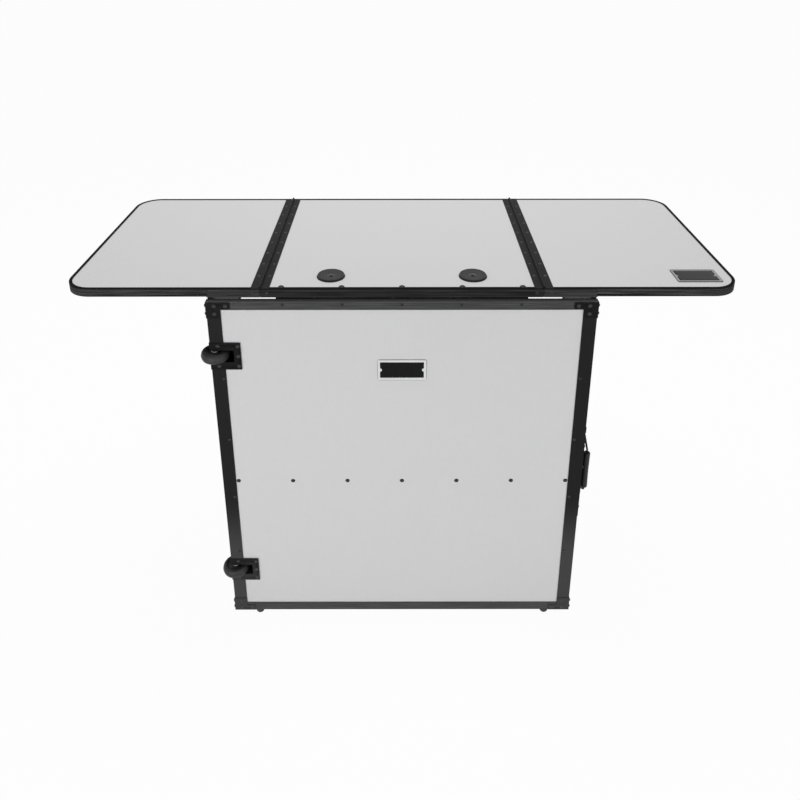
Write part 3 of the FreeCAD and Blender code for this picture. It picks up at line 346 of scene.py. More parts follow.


# Aluminium, extruded and anodised black: a dyed oxide skin, so a satin gleam, with die lines and shallow
# grooves along its length, which are painted darker as painted shade. The die lines are drawn coarser than
# the real ones, so that they show. A layer of dust greys it where it has one, and a light grey layer on the
# top rail's top face is painted light.
def anodised(name, colour, contrast, across, groove, groove_depth_and_shade, gloss, middle=Vector(), dust_and_light_film=None):
    finish = bpy.context.scene.booth_finish
    material, tree, place, shader = new_material(name)
    stretch = Vector((1.0, 1.0, 1.0)) * DIE_LINE_CHANGE + across
    drawn = add_node(tree, "ShaderNodeMapping", {"Vector": place, "Scale": stretch}).outputs["Vector"]
    inputs = {"Vector": drawn, "Scale": 1 / finish.draw_line, "Detail": 4.0}
    noise = add_node(tree, "ShaderNodeTexNoise", inputs).outputs["Fac"]
    inputs = {"Value": noise, **NOISE_RANGE}
    lines = add_node(tree, "ShaderNodeMapRange", inputs).outputs["Result"]
    wave = across * (2 * math.pi / groove)
    away = add_node(tree, "ShaderNodeVectorMath", {0: place, 1: middle}, operation="SUBTRACT")
    inputs = {0: away.outputs["Vector"], 1: wave}
    phase = add_node(tree, "ShaderNodeVectorMath", inputs, operation="DOT_PRODUCT").outputs["Value"]
    crest = add_node(tree, "ShaderNodeMath", {0: phase}, operation="COSINE").outputs[0]
    # Painted shade: in the grooves the colour falls towards its darker shade.
    inputs = {"Value": crest, **GROOVE_CREST, "To Min": 1.0 - groove_depth_and_shade}
    land = add_node(tree, "ShaderNodeMapRange", inputs).outputs["Result"]
    relief = add_node(tree, "ShaderNodeMath", {0: lines, 1: land}, operation="MULTIPLY").outputs[0]
    inputs = {"Factor": relief, **shades(colour, contrast)}
    lines_and_groove_shade = add_node(tree, "ShaderNodeMix", inputs, data_type="RGBA").outputs["Result"]
    if dust_and_light_film:
        lines_and_groove_shade = dust_and_light_filmed(tree, place, lines_and_groove_shade, dust_and_light_film)
    tree.links.new(lines_and_groove_shade, shader.inputs["Base Color"])
    rough = add_node(tree, "ShaderNodeMapRange", {"Value": lines, "To Min": 0.4, "To Max": 0.55})
    tree.links.new(rough.outputs["Result"], shader.inputs["Roughness"])
    shader.inputs["Specular IOR Level"].default_value = gloss
    bump = {"Height": relief, "Strength": 0.2, "Distance": GROOVE_RELIEF}
    tree.links.new(add_node(tree, "ShaderNodeBump", bump).outputs["Normal"], shader.inputs["Normal"])
    return material


# A moulded, coated or plated surface: an even grain in colour, gloss and relief, with slow cloudy wear
# over it. The grain is drawn coarser than the real one, so that it shows.
def grained(name, colour, contrast, grain, roughness, relief, gloss, metallic=0.0, dust_and_light_film=None):
    material, tree, place, shader = new_material(name)
    inputs = {"Vector": place, "Scale": 1 / grain, "Detail": 2.0}
    speck = add_node(tree, "ShaderNodeTexNoise", inputs).outputs["Fac"]
    inputs = {"Vector": place, "Scale": 1 / WEAR_CLOUD, "Detail": 2.0}
    wear = add_node(tree, "ShaderNodeTexNoise", inputs).outputs["Fac"]
    cloud = add_node(tree, "ShaderNodeMath", {0: speck, 1: wear}, operation="MULTIPLY").outputs[0]
    inputs = {"Value": cloud, "From Min": 0.1, "From Max": 0.4}
    amount = add_node(tree, "ShaderNodeMapRange", inputs).outputs["Result"]
    inputs = {"Factor": amount, **shades(colour, contrast)}
    tint = add_node(tree, "ShaderNodeMix", inputs, data_type="RGBA").outputs["Result"]
    if dust_and_light_film:
        tint = dust_and_light_filmed(tree, place, tint, dust_and_light_film)
    tree.links.new(tint, shader.inputs["Base Color"])
    inputs = {"Value": speck, **NOISE_RANGE}
    inputs |= {"To Min": roughness - ROUGHNESS_SWING, "To Max": roughness + ROUGHNESS_SWING}
    rough = add_node(tree, "ShaderNodeMapRange", inputs).outputs["Result"]
    tree.links.new(rough, shader.inputs["Roughness"])
    shader.inputs["Metallic"].default_value = metallic
    shader.inputs["Specular IOR Level"].default_value = gloss
    bump = {"Height": speck, "Strength": 0.25, "Distance": relief}
    tree.links.new(add_node(tree, "ShaderNodeBump", bump).outputs["Normal"], shader.inputs["Normal"])
    return material


# Cast zinc under silver lacquer: pale and satin, with a fine cast grain. A thin dark line round its outer
# edge is painted shade, for the shadow where the plate's edge meets the board.
def cast_plate(name, node, up, colour, shade_line_colour):
    material = grained(
        name, colour, contrast=0.06, grain=0.8 * MM, roughness=0.4, relief=0.02 * MM, gloss=0.35, metallic=0.1
    )
    tree = material.node_tree
    shader = next(found for found in tree.nodes if found.type == "BSDF_PRINCIPLED")
    place = next(found for found in tree.nodes if found.type == "TEX_COORD").outputs["Object"]
    silver = shader.inputs["Base Color"].links[0].from_socket
    low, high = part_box(node)
    middle, half = (low + high) / 2, (high - low) / 2
    # Painted shade: a thin dark line just inside the plate's outline, for the shadow at its edge.
    past = []
    for heading in (X, up):
        along = add_node(tree, "ShaderNodeVectorMath", {0: place, 1: heading}, operation="DOT_PRODUCT")
        inputs = {0: along.outputs["Value"], 1: middle.dot(heading)}
        away = add_node(tree, "ShaderNodeMath", inputs, operation="SUBTRACT").outputs[0]
        reach = add_node(tree, "ShaderNodeMath", {0: away}, operation="ABSOLUTE").outputs[0]
        inputs = {0: reach, 1: half.dot(heading) - PLATE_SHADE_LINE}
        past.append(add_node(tree, "ShaderNodeMath", inputs, operation="GREATER_THAN").outputs[0])
    edge = add_node(tree, "ShaderNodeMath", {0: past[0], 1: past[1]}, operation="MAXIMUM").outputs[0]
    inputs = {"Factor": edge, "A": silver, "B": shade_line_colour}
    shade_lined = add_node(tree, "ShaderNodeMix", inputs, data_type="RGBA").outputs["Result"]
    tree.links.new(shade_lined, shader.inputs["Base Color"])
    return material


def clothe(nodes, material):
    """Gives CAD nodes one material."""
    for name in nodes:
        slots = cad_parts[name].data.materials
        slots.clear()
        slots.append(material)


def soften(nodes, width):
    """Rounds the edges of CAD nodes with live modifiers, after joining their loose triangles."""
    for name in nodes:
        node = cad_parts[name]
        weld = node.modifiers.new("join", "WELD")
        weld.merge_threshold = WELD_DISTANCE
        bevel = node.modifiers.new("round", "BEVEL")
        bevel.width = width
        bevel.segments = BEVEL_SEGMENTS
        bevel.limit_method = "ANGLE"
        bevel.angle_limit = BEVEL_ANGLE
        bevel.harden_normals = True


def both(stem):
    """The left and the right node of one stem."""
    return [stem + side for side in SIDES]


def quads(rows, columns):
    """Corner numbers of the quads of a grid that is closed round its rows."""
    row = np.arange(rows)[:, None]
    column = np.arange(columns - 1)[None, :]
    after = (row + 1) % rows
    corners = [row * columns + column, after * columns + column]
    corners += [after * columns + column + 1, row * columns + column + 1]
    return np.stack(np.broadcast_arrays(*corners), axis=-1).reshape(-1, 4)


def make_piece(name, grids, material, body):
    """One mesh piece from grids of points; repeated points at poles are joined and faces turned outwards."""
    points = []
    faces = []
    start = 0
    for grid in grids:
        rows, columns = grid.shape[:2]
        points.append(grid.reshape(-1, 3))
        faces.append(quads(rows, columns) + start)
        start += rows * columns
    mesh = bpy.data.meshes.new(name)
    mesh.from_pydata(np.concatenate(points).tolist(), [], np.concatenate(faces).tolist())
    shape = bmesh.new()
    shape.from_mesh(mesh)
    bmesh.ops.remove_doubles(shape, verts=shape.verts, dist=POLE_WELD_DISTANCE)
    bmesh.ops.recalc_face_normals(shape, faces=shape.faces)
    shape.to_mesh(mesh)
    shape.free()
    mesh.shade_smooth()
    mesh.materials.append(material)
    piece = bpy.data.objects.new(name, mesh)
    bpy.context.scene.collection.objects.link(piece)
    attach(piece, body)
    return piece


def turned(profile, steps, centre, axis=Z):
    """A profile of (radius, height) carried round an axis through a centre.

    The grid has a row for each step of the turn and a column for each point of the profile: radius times
    the cosine and the sine of the turn, and height along the axis.
    """
    angle = np.linspace(0, 2 * math.pi, steps, endpoint=False)[:, None]
    radius, height = np.asarray(profile).T
    local = np.broadcast_arrays(radius * np.cos(angle), radius * np.sin(angle), height + 0 * angle)
    turn = np.array(Z.rotation_difference(axis).to_matrix())
    return np.stack(local, axis=-1) @ turn.T + np.array(centre)


def dome_profile(radius, height):
    """Quarter of an ellipse from the rim to the pole, closed across its base."""
    turn = np.linspace(0, math.pi / 2, STUD_POINTS)
    return np.concatenate([[[0.0, 0.0]], np.stack([radius * np.cos(turn), height * np.sin(turn)], axis=-1)])


def box_middle(node):
    """The middle of a CAD node's box."""
    low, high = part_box(node)
    return (low + high) / 2


def placed(local, centre, across, up, out):
    """Turns points given along a face's across, up and out directions into the object's frame."""
    turn = np.stack([np.array(across), np.array(up), np.array(out)])
    return local @ turn + np.array(centre)


def bitten_field(width, height, rise, bite):
    """A thin closed pillow: a rectangle whose two short sides have a round bite, with a flat crown.

    u runs across the crown and back under it, v runs up. The crown is rise times (1 - u^12)(1 - v^12), and
    the half width at each v is less by the bite's circle there.
    """
    there = np.linspace(-1, 1, FIELD_COLUMNS)
    back = np.linspace(1, -1, FIELD_COLUMNS)[1:-1]
    u = np.concatenate([there, back])[:, None]
    v = np.linspace(-1, 1, FIELD_ROWS)[None, :]
    under = np.concatenate([np.ones(there.size), np.full(back.size, FIELD_UNDERSIDE)])[:, None]
    y = v * height / 2
    notch = np.sqrt(np.clip(bite**2 - y**2, 0, None))
    x = u * (width / 2 - notch)
    z = rise * under * (1 - u**FIELD_POWER) * (1 - v**FIELD_POWER)
    return np.stack(np.broadcast_arrays(x, y, z), axis=-1)


def islands(node):
    """Lowest and highest corners of each separate solid in a CAD node."""
    shape = bmesh.new()
    shape.from_mesh(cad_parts[node].data)
    bmesh.ops.remove_doubles(shape, verts=shape.verts, dist=WELD_DISTANCE)
    waiting = set(shape.verts)
    boxes = []
    while waiting:
        front = [waiting.pop()]
        found = []
        while front:
            vertex = front.pop()
            found.append(vertex.co[:])
            near = {edge.other_vert(vertex) for edge in vertex.link_edges} & waiting
            waiting -= near
            front.extend(near)
        corners = np.array(found)
        boxes.append((corners.min(axis=0), corners.max(axis=0)))
    shape.free()
    return sorted(boxes, key=lambda pair: tuple(pair[0]))


def cross_recess(radius, cap):
    """A four-armed star that lies on a dome: a thin sheet of painted shade for a screw's cross recess.

    Its reach is radius (0.3 + 0.7 |cos 2u|^3), and it sinks as the cap's sphere does. u runs round, and v
    runs from the middle out over the top and back under.
    """
    u = np.linspace(0, 2 * math.pi, RECESS_STEPS, endpoint=False)[:, None]
    v = np.array([0.0, 0.5, 0.95, 1.0, 0.95, 0.0])[None, :]
    top = np.array([1.0, 1.0, 0.8, 0.0, -1.0, -1.0])[None, :]
    reach = radius * (0.3 + 0.7 * np.abs(np.cos(2 * u)) ** 3) * v
    x = reach * np.cos(u)
    y = reach * np.sin(u)
    z = np.sqrt(cap**2 - reach**2) - cap + RECESS_RISE * top
    return np.stack(np.broadcast_arrays(x, y, z), axis=-1)


class BOOTH_OT_boards(bpy.types.Operator):
    """Pale laminate on the front, the sides and the table, with a black back sheet darkened as painted shade
    """

    bl_idname = "booth.boards"
    bl_label = "Boards"

    def execute(self, context):
        finish = context.scene.booth_finish
        front_face = -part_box("front_board")[0].y - BACK_MARGIN
        front = laminate("Embossed laminate, front", finish.panel, X, Z, -Y, front_face)
        clothe(["front_board"], front)
        for side, outward in zip(SIDES, (-X, X)):
            node = "side_board_" + side
            edge = max(abs(corner.x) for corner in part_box(node)) - BACK_MARGIN
            clothe([node], laminate("Embossed laminate, " + side, finish.panel, Y, Z, outward, edge))
        top_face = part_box("centre_board")[1].z - BACK_MARGIN
        top = laminate("Embossed laminate, top", finish.table, X, Y, Z, top_face)
        clothe(["centre_board", *both("wing_board_")], top)
        return {"FINISHED"}


class BOOTH_OT_frame(bpy.types.Operator):
    """Black extrusions of the front frame, the side edging and the brace"""

    bl_idname = "booth.frame"
    bl_label = "Frame"

    def execute(self, context):
        finish = context.scene.booth_finish
        dust = (finish.dust, *UPRIGHT_DUST)
        drawn = dict(contrast=0.25, across=X + Y, groove=UPRIGHT_GROOVE, groove_depth_and_shade=0.4)
        upright = anodised("Anodised aluminium, upright", finish.upright, **drawn, gloss=0.12, dust_and_light_film=dust)
        edging = anodised("Anodised aluminium, edging", finish.upright, **drawn, gloss=0.02)
        drawn = dict(contrast=0.5, across=Y + Z, groove=LEVEL_GROOVE, groove_depth_and_shade=1.0)
        level = anodised("Anodised aluminium, level", finish.level, **drawn, gloss=0.22)
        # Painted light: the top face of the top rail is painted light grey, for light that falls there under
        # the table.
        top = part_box("frame_rail_top")[1].z
        painted_top_light = (finish.painted_top_light, top - PAINTED_TOP_LIGHT_DEPTH, top)
        upper = anodised("Anodised aluminium, top rail with painted top light", finish.level, **drawn, gloss=0.2, dust_and_light_film=painted_top_light)
        posts, sides = both("frame_rail_"), both("side_edging_")
        bars = ["frame_rail_bottom", "cross_brace"]
        clothe(posts, upright)
        clothe(sides, edging)
        clothe(bars, level)
        clothe(["frame_rail_top"], upper)
        soften([*posts, *sides, *bars, "frame_rail_top"], finish.edge_round)
        return {"FINISHED"}


class BOOTH_OT_table_edges(bpy.types.Operator):
    """Black rims and the front strip of the table"""

    bl_idname = "booth.table_edges"
    bl_label = "Table edges"

    def execute(self, context):
        finish = context.scene.booth_finish
        # Painted shade: the rim is painted dark along its top and bottom edges and across its flange's top
        # face.
        low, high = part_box("centre_rims")
        drawn = dict(contrast=0.8, across=Z, groove=(high - low).z, groove_depth_and_shade=1.0)
        middle = box_middle("centre_rims")
        rim = anodised("Anodised aluminium, rim", finish.rim, **drawn, gloss=0.01, middle=middle)
        drawn = dict(across=Y + Z, groove=STRIP_GROOVE, groove_depth_and_shade=1.0, gloss=0.03)
        strip = anodised("Anodised aluminium, strip", finish.strip, contrast=0.5, **drawn)
        ends = anodised("Anodised aluminium, wing strip", finish.wing_strip, contrast=0.4, **drawn)
        rims = ["centre_rims", *both("wing_rim_")]
        strips = both("wing_front_strip_")
        clothe(rims, rim)
        clothe(["centre_front_strip"], strip)
        clothe(strips, ends)
        soften([*rims, *strips, "centre_front_strip"], finish.edge_round)
        return {"FINISHED"}


class BOOTH_OT_hinges(bpy.types.Operator):
    """Coated hinge leaves and bare steel pins"""

    bl_idname = "booth.hinges"
    bl_label = "Hinges"

    def execute(self, context):
        finish = context.scene.booth_finish
        # Rolled steel, black coated: nearly matt, and the coat lies flat.
        look = dict(contrast=0.25, grain=2.0 * MM, roughness=0.55, relief=0.05 * MM, gloss=0.07)
        leaf = grained("Coated hinge steel", finish.hinge, **look)
        # Drawn steel, left bare: a bright narrow gleam.
        look = dict(contrast=0.1, grain=1.0 * MM, roughness=0.25, relief=0.02 * MM, gloss=0.5)
        steel = grained("Bare drawn steel", finish.steel, **look, metallic=1.0)
        leaves = [*both("wing_hinge_leaf_"), "centre_hinge_leaves", *both("side_hinge_leaf_")]
        leaves += [*both("frame_hinge_leaf_"), "table_hinge_leaf_frame", "table_hinge_leaf_table"]
        clothe([*leaves, "wing_hinge_pins"], leaf)
        clothe(["table_hinge_pin", *both("side_hinge_pins_")], steel)
        return {"FINISHED"}


class BOOTH_OT_brackets(bpy.types.Operator):
    """Powder-coated corner brackets, wheel dishes and handle plate"""

    bl_idname = "booth.brackets"
    bl_label = "Brackets"

    def execute(self, context):
        finish = context.scene.booth_finish
        # Steel sheet, powder coated black: deep black with a faint orange-peel grain and a soft gleam on its
        # bends. Near the floor a film of dust greys it.
        dust = (finish.dust, *BRACKET_DUST)
        look = dict(contrast=0.35, grain=finish.powder_grain, roughness=0.45, relief=0.06 * MM, gloss=0.09)
        coat = grained("Powder-coated steel", finish.bracket, **look, dust_and_light_film=dust)
        nodes = ["corner_brackets", "wheel_dish_upper", "wheel_dish_lower", "handle_saddles"]
        clothe(nodes, coat)
        soften(nodes, finish.edge_round)
        return {"FINISHED"}


class BOOTH_OT_fasteners(bpy.types.Operator):
    """Black bolts, rivets and screws, with a dark star of painted shade for the cross recess in each screw"""

    bl_idname = "booth.fasteners"
    bl_label = "Fasteners"

    def execute(self, context):
        finish = context.scene.booth_finish
        # Forged steel, black oxide: dark, with a tight highlight on each dome.
        look = dict(contrast=0.25, grain=1.0 * MM, roughness=0.3, relief=0.03 * MM, gloss=0.25)
        oxide = grained("Black oxide steel", finish.bolt, **look)
        # Steel, black zinc plated: greyer than oxide, with a metallic glint.
        look = dict(contrast=0.2, grain=1.0 * MM, roughness=0.32, relief=0.03 * MM, gloss=0.4)
        zinc = grained("Black zinc steel", finish.screw, **look, metallic=0.4)
        # Painted shade: a dark star laid on each screw's dome, in the brackets' black, for the shade in its
        # cross recess.
        look = dict(contrast=0.3, grain=1.0 * MM, roughness=0.7, relief=0.02 * MM, gloss=0.1)
        shade = grained("Painted recess shade", finish.bracket, **look)
        clothe(["brace_bolts", "frame_rivets", "table_fasteners", *both("wing_fasteners_")], oxide)
        clothe(["frame_screws"], zinc)
        stars = []
        for low, high in islands("frame_screws"):
            size = high - low
            axis = int(np.argmin(size))
            middle = (low + high) / 2
            radius = float(np.sort(size)[1]) / 2
            faces_front = axis == 1
            out, across = (-Y, X) if faces_front else (X * math.copysign(1, middle[0]), Y)
            head = SCREW_HEAD if faces_front else SIDE_SCREW_HEAD
            cap = (radius**2 + head**2) / (2 * head)
            crown = middle + np.array(out) * size[axis] / 2
            stars.append(placed(cross_recess(radius * RECESS_SHARE, cap), crown, across, Z, out))
        make_piece("screw_recess_shades", stars, shade, "frame")
        return {"FINISHED"}


def tyre_profile(width, radius, bore):
    """Half-round crown by a cosine, a shallow ridge on the middle, and flat walls in to the hub."""
    turn = np.linspace(-math.pi / 2, math.pi / 2, TYRE_POINTS)
    crown = width * TYRE_CROWN_SHARE
    ridge = TYRE_RIDGE * np.exp(-((turn / TYRE_RIDGE_TURN) ** 2))
    shoulder_r = radius - crown + crown * np.cos(turn) - TYRE_RIDGE + ridge
    shoulder_h = width / 2 * np.sin(turn)
    wall = radius - crown - TYRE_WALL_STEP
    low = [(bore, -width / 2 + TYRE_WALL_STEP), (wall, -width / 2 + TYRE_WALL_GROOVE)]
    high = [(r, -h) for r, h in reversed(low)]
    return np.array(low + list(zip(shoulder_r, shoulder_h)) + high + low[:1])


def ring_profile(middle, tube):
    """A circle of the tube's radius, at the ring's middle radius, for carrying round an axis."""
    turn = np.linspace(0, 2 * math.pi, BUSH_POINTS)
    return np.stack([middle + tube * np.cos(turn), tube * np.sin(turn)], axis=-1)


class BOOTH_OT_wheels(bpy.types.Operator):
    """Moulded tyres on nylon hubs, with a bright bush at each end of the bore"""

    bl_idname = "booth.wheels"
    bl_label = "Wheels"

    def execute(self, context):
        finish = context.scene.booth_finish
        # Rubber, moulded: dark grey, with a broad dull sheen along the crown.
        look = dict(contrast=0.2, grain=finish.rubber_grain, roughness=0.5, relief=0.05 * MM, gloss=0.3)
        rubber = grained("Moulded tyre rubber", finish.tyre, **look)
        # Nylon, moulded: smoother than the tyre, with a narrower sheen. Its colour is lighter than the
        # tyre's, as painted light against the shadow under the wheel dish.
        look = dict(contrast=0.25, grain=2.0 * MM, roughness=0.4, relief=0.03 * MM, gloss=0.25)
        nylon = grained("Moulded nylon, painted light", finish.hub, **look)
        # Steel, turned and left bare: bright where its ring faces the light.
        look = dict(contrast=0.1, grain=0.8 * MM, roughness=0.4, relief=0.02 * MM, gloss=0.5)
        steel = grained("Turned bare steel", finish.bush, **look, metallic=1.0)
        clothe(["wheel_axles"], steel)
        for level in ("upper", "lower"):
            node = "wheel_tyre_" + level
            hub = "wheel_hub_" + level
            low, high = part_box(node)
            size = high - low
            hub_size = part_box(hub)[1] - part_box(hub)[0]
            middle = box_middle(node)
            profile = tyre_profile(size.z, min(size.x, size.y) / 2, hub_size.x / 2)
            grid = turned(profile, TYRE_STEPS, middle)
            piece = make_piece("tyre_" + level, [grid], rubber, "wheel_" + level)
            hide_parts(node)
            clothe([hub], nylon)
            ring = ring_profile(BUSH_MIDDLE, BUSH_TUBE)
            rings = [turned(ring, BUSH_STEPS, middle + Z * end * hub_size.z / 2) for end in (-1, 1)]
            make_piece("axle_bush_" + level, rings, steel, "wheel_" + level)
        return {"FINISHED"}


class BOOTH_OT_feet(bpy.types.Operator):
    """Rubber feet and the rest strips under the table"""

    bl_idname = "booth.feet"
    bl_label = "Feet"

    def execute(self, context):
        finish = context.scene.booth_finish
        # Rubber, moulded and dusty from the floor: matt, with no highlight.
        look = dict(contrast=0.25, grain=finish.rubber_grain, roughness=0.65, relief=0.05 * MM, gloss=0.2)
        rubber = grained("Moulded foot rubber", finish.foot, **look)
        clothe(["front_feet", *both("side_foot_"), *both("side_rest_strip_")], rubber)
        return {"FINISHED"}


def grip_profile(radius, half, bore):
    """Half outline of the grip, from the wire's bore at one end to its bore at the other.

    It is full at both ends and drawn in by a cosine at the middle, with ring grooves where a second cosine
    rises, and it has quarter-round shoulders.
    """
    height = np.linspace(-half + GRIP_ROUND, half - GRIP_ROUND, GRIP_POINTS)
    share = height / (half - GRIP_ROUND)
    waist = GRIP_WAIST * (0.5 + 0.5 * np.cos(math.pi * share))
    ring = np.clip(np.cos(math.pi * GRIP_GROOVES * share), 0, None) ** GRIP_GROOVE_POWER
    body_r = radius - waist - GRIP_GROOVE * ring * (np.abs(share) < GRIP_GROOVED_SHARE)
    turn = np.linspace(0, math.pi / 2, GRIP_END_POINTS, endpoint=False)
    end_r = radius - GRIP_ROUND + GRIP_ROUND * np.sin(turn)
    end_h = half - GRIP_ROUND + GRIP_ROUND * np.cos(turn)
    r = np.concatenate([[bore], end_r, body_r, end_r[::-1], [bore, bore]])
    h = np.concatenate([[-half], -end_h, height, end_h[::-1], [half, -half]])
    return np.stack([r, h], axis=-1)


class BOOTH_OT_handle(bpy.types.Operator):
    """Bail of coated wire and its moulded grip"""

    bl_idname = "booth.handle"
    bl_label = "Handle"

    def execute(self, context):
        finish = context.scene.booth_finish
        # Steel wire, dipped in black coating: smooth, with one thin line of light along it.
        look = dict(contrast=0.3, grain=1.5 * MM, roughness=0.35, relief=0.03 * MM, gloss=0.4)
        wire = grained("Dip-coated wire", finish.wire, **look)
        # Plastic, moulded with a spark texture: dull black that greys where it turns to the light.
        look = dict(contrast=0.25, grain=finish.plastic_grain, roughness=0.5, relief=0.06 * MM, gloss=0.25)
        plastic = grained("Moulded grip plastic", finish.grip, **look)
        clothe(["handle_bail", "handle_grip"], wire)
        low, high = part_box("handle_grip")
        size = high - low
        profile = grip_profile(size.y / 2, size.z / 2, size.y / GRIP_WIDTH_TO_BORE)
        grid = turned(profile, GRIP_STEPS, box_middle("handle_grip"))
        grip = make_piece("grooved_grip", [grid], plastic, "handle")
        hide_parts("handle_grip")
        return {"FINISHED"}


def finger_sheet():
    """A round rubber sheet cut into fingers that droop towards the middle of a hole, which stays open.

    u runs round. At the share s of the way in from the rim the sheet hangs lower by the droop times s
    squared, and by the slit's depth times s in narrow bells where the cuts are. s runs in over the top and
    back out underneath.
    """
    u = np.linspace(0, 2 * math.pi, FINGER_STEPS * FINGERS, endpoint=False)[:, None]
    s = np.concatenate([np.linspace(0, 1, FINGER_POINTS), np.linspace(1, 0, FINGER_POINTS), [0.0]])[None, :]
    under = np.concatenate([np.zeros(FINGER_POINTS), np.ones(FINGER_POINTS), [0.0]])[None, :]
    radius = FINGER_REACH + (FINGER_TIP - FINGER_REACH) * s
    cut = np.exp(-((np.sin(FINGERS * u / 2) / FINGER_SLIT_WIDTH) ** 2))
    z = -FINGER_DROOP * s**2 - FINGER_SLIT * s * cut - FINGER_SHEET * under
    return np.stack(np.broadcast_arrays(radius * np.cos(u), radius * np.sin(u), z), axis=-1)


class BOOTH_OT_cable_ports(bpy.types.Operator):
    """Moulded rings and plugs of the cable ports, with rubber fingers in their holes"""

    bl_idname = "booth.cable_ports"
    bl_label = "Cable ports"

    def execute(self, context):
        finish = context.scene.booth_finish
        # ABS, moulded with a spark texture: charcoal, with a soft glint along each lip.
        look = dict(contrast=0.2, grain=finish.plastic_grain, roughness=0.45, relief=0.05 * MM, gloss=0.15)
        plastic = grained("Moulded ABS", finish.port, **look)
        clothe([*both("cable_port_ring_"), *both("cable_port_plug_")], plastic)
        # Rubber, moulded thin: softer and more even than the ABS, and it catches light where a finger bends.
        # Its colour is a lighter grey than black rubber has, as a painted highlight on the fingers.
        look = dict(contrast=0.2, grain=finish.rubber_grain, roughness=0.4, relief=0.04 * MM, gloss=0.6)
        rubber = grained("Moulded finger rubber, painted highlight", finish.finger, **look)
        for plug in both("cable_port_plug_"):
            crown = box_middle(plug)
            crown.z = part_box(plug)[1].z - FINGER_BELOW_TOP
            sheet = finger_sheet() + np.array(crown)
            make_piece(plug.replace("plug", "fingers"), [sheet], rubber, "table")
        return {"FINISHED"}


class BOOTH_OT_plates(bpy.types.Operator):
    """Bare plates with a dark field"""

    bl_idname = "booth.plates"
    bl_label = "Plates"

    def execute(self, context):
        finish = context.scene.booth_finish
        # Enamel, poured into the recess: flat black, glossier than anything round it.
        look = dict(contrast=0.3, grain=3.0 * MM, roughness=0.25, relief=0.01 * MM, gloss=0.12)
        enamel = grained("Poured enamel", finish.enamel, **look)
        plates = (
            ("name_plate_front", "frame", Z, -Y, finish.plate, finish.plate_shade_line),
            ("name_plate_wing", "wing_right", Y, Z, finish.wing_plate, finish.wing_plate_shade_line),
        )
        for node, body, up, out, colour, shade_line_colour in plates:
            silver = cast_plate("Lacquered cast zinc, " + body, node, up, colour, shade_line_colour)
            clothe([node], silver)
            soften([node], PLATE_ROUND)
            low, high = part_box(node)
            size = high - low
            width = size.x - 2 * PLATE_BORDER_ACROSS
            height = abs(size.dot(up)) - 2 * PLATE_BORDER_UP
            floor = box_middle(node) + out * (abs(size.dot(out)) / 2 - PLATE_RECESS)
            field = bitten_field(width, height, PLATE_RECESS * FIELD_FILL, PLATE_BITE)
            make_piece(node + "_field", [placed(field, floor, X, up, out)], enamel, body)
            profile = dome_profile(PLATE_BITE * STUD_SHARE, PLATE_RECESS * STUD_RISE)
            studs = [turned(profile, STUD_STEPS, floor + X * side * width / 2, out) for side in (-1, 1)]
            make_piece(node + "_studs", studs, silver, body)
        return {"FINISHED"}


def seen_ray(tree):
    """1 for the rays that show the background: camera, glossy and transmission rays."""
    path = add_node(tree, "ShaderNodeLightPath").outputs
    inputs = {0: path["Is Camera Ray"], 1: path["Is Glossy Ray"]}
    total = add_node(tree, "ShaderNodeMath", inputs, operation="ADD").outputs[0]
    inputs = {0: total, 1: path["Is Transmission Ray"]}
    return add_node(tree, "ShaderNodeMath", inputs, operation="ADD", use_clamp=True).outputs[0]


def stage_material():
    """White for what the camera sees, with part of the light it really gets, so that the shadow stays."""
    material = bpy.data.materials.new("Studio floor")
    material.use_nodes = True
    tree = material.node_tree
    tree.nodes.clear()
    lit = add_node(tree, "ShaderNodeBsdfDiffuse", {"Color": linear(FLOOR_COLOUR)}).outputs["BSDF"]
    glow = add_node(tree, "ShaderNodeEmission", {"Strength": 1.0}).outputs["Emission"]
    share = add_node(tree, "ShaderNodeMath", {0: seen_ray(tree), 1: FLOOR_SHARE}, operation="MULTIPLY")
    mix = add_node(tree, "ShaderNodeMixShader", {0: share.outputs[0], 1: lit, 2: glow})
    add_node(tree, "ShaderNodeOutputMaterial", {"Surface": mix.outputs["Shader"]})
    return material


def make_world():
    """White for rays that are seen, softer for the light that falls on the object."""
    world = bpy.data.worlds.new("Studio")
    bpy.context.scene.world = world
    world.use_nodes = True
    tree = world.node_tree
    tree.nodes.clear()
    inputs = {"Value": seen_ray(tree), "To Min": WORLD_LIGHT, "To Max": 1.0}
    level = add_node(tree, "ShaderNodeMapRange", inputs).outputs["Result"]
    light = add_node(tree, "ShaderNodeBackground", {"Color": (1, 1, 1, 1), "Strength": level})
    add_node(tree, "ShaderNodeOutputWorld", {"Surface": light.outputs["Background"]})


def add_lamp(name, place, size, power):
    """A soft lamp, as wide and as high as its size says, that faces the booth."""
    lamp = bpy.data.lights.new(name, "AREA")
    lamp.shape = "RECTANGLE"
    lamp.size, lamp.size_y = size
    lamp.energy = power
    holder = bpy.data.objects.new(name, lamp)
    holder.location = place
    holder.rotation_euler = (LAMP_TARGET - place).to_track_quat("-Z", "Y").to_euler()
    bpy.context.scene.collection.objects.link(holder)


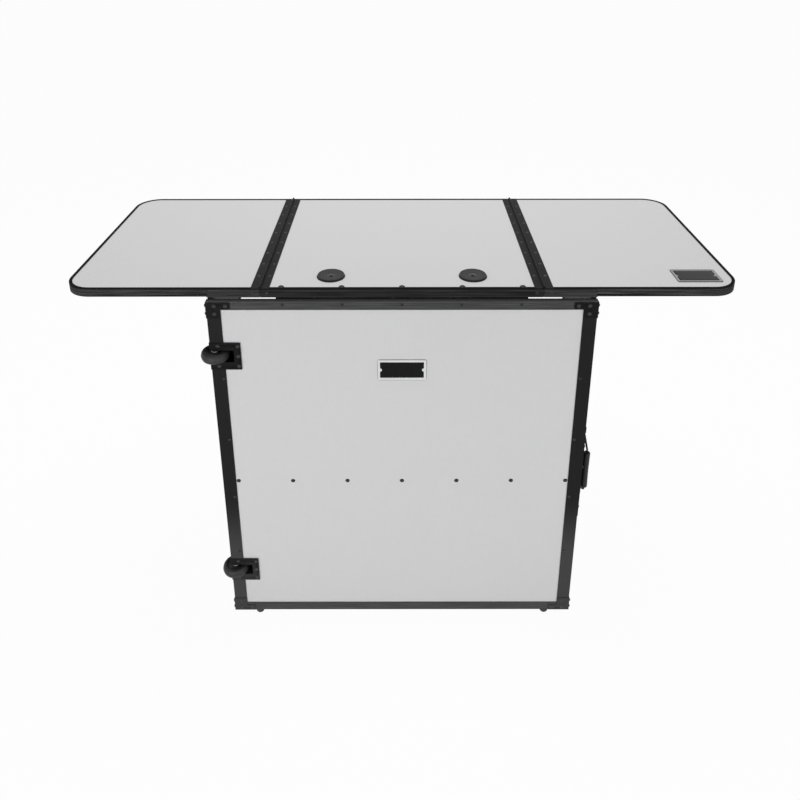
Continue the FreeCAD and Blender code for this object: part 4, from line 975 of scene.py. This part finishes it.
class BOOTH_OT_stage(bpy.types.Operator):
    """Pale floor, soft lamps and the camera"""

    bl_idname = "booth.stage"
    bl_label = "Stage"

    def execute(self, context):
        scene = context.scene
        view = scene.booth_view
        scene.view_settings.view_transform = "Standard"
        mesh = bpy.data.meshes.new("floor")
        corners = [(x * FLOOR_REACH, y * FLOOR_REACH, 0) for x, y in ((-1, -1), (1, -1), (1, 1), (-1, 1))]
        mesh.from_pydata(corners, [], [(0, 1, 2, 3)])
        mesh.materials.append(stage_material())
        floor = bpy.data.objects.new("floor", mesh)
        scene.collection.objects.link(floor)
        make_world()
        for lamp in LAMPS:
            add_lamp(*lamp)
        camera = bpy.data.objects.new("camera", bpy.data.cameras.new("camera"))
        camera.location = (view.camera_side, FRONT_Y - view.camera_from_front, view.camera_height)
        camera.rotation_euler = (math.pi / 2 - view.camera_pitch, view.camera_roll, view.camera_yaw)
        camera.data.lens = view.lens
        camera.data.sensor_width = SENSOR_WIDTH
        camera.data.shift_y = view.rise
        scene.collection.objects.link(camera)
        scene.camera = camera
        return {"FINISHED"}


OPERATORS = (
    BOOTH_OT_boards,
    BOOTH_OT_frame,
    BOOTH_OT_table_edges,
    BOOTH_OT_hinges,
    BOOTH_OT_brackets,
    BOOTH_OT_fasteners,
    BOOTH_OT_wheels,
    BOOTH_OT_feet,
    BOOTH_OT_handle,
    BOOTH_OT_cable_ports,
    BOOTH_OT_plates,
    BOOTH_OT_stage,
)


class BOOTH_PT_panel(bpy.types.Panel):
    """Lists the steps that finish the booth"""

    bl_idname = "BOOTH_PT_panel"
    bl_label = "Booth"
    bl_space_type = "VIEW_3D"
    bl_region_type = "UI"
    bl_category = "Booth"

    def draw(self, context):
        for operator in OPERATORS:
            self.layout.operator(operator.bl_idname)


CLASSES = (BoothFinish, BoothView, *OPERATORS, BOOTH_PT_panel)


def register():
    for cls in CLASSES:
        bpy.utils.register_class(cls)
    bpy.types.Scene.booth_finish = bpy.props.PointerProperty(type=BoothFinish)
    bpy.types.Scene.booth_view = bpy.props.PointerProperty(type=BoothView)


def unregister():
    del bpy.types.Scene.booth_view
    del bpy.types.Scene.booth_finish
    for cls in reversed(CLASSES):
        bpy.utils.unregister_class(cls)


def main():
    register()
    for operator in OPERATORS:
        step = operator.bl_idname.split(".")[1]
        getattr(bpy.ops.booth, step)()


if __name__ == "__main__":
    main()
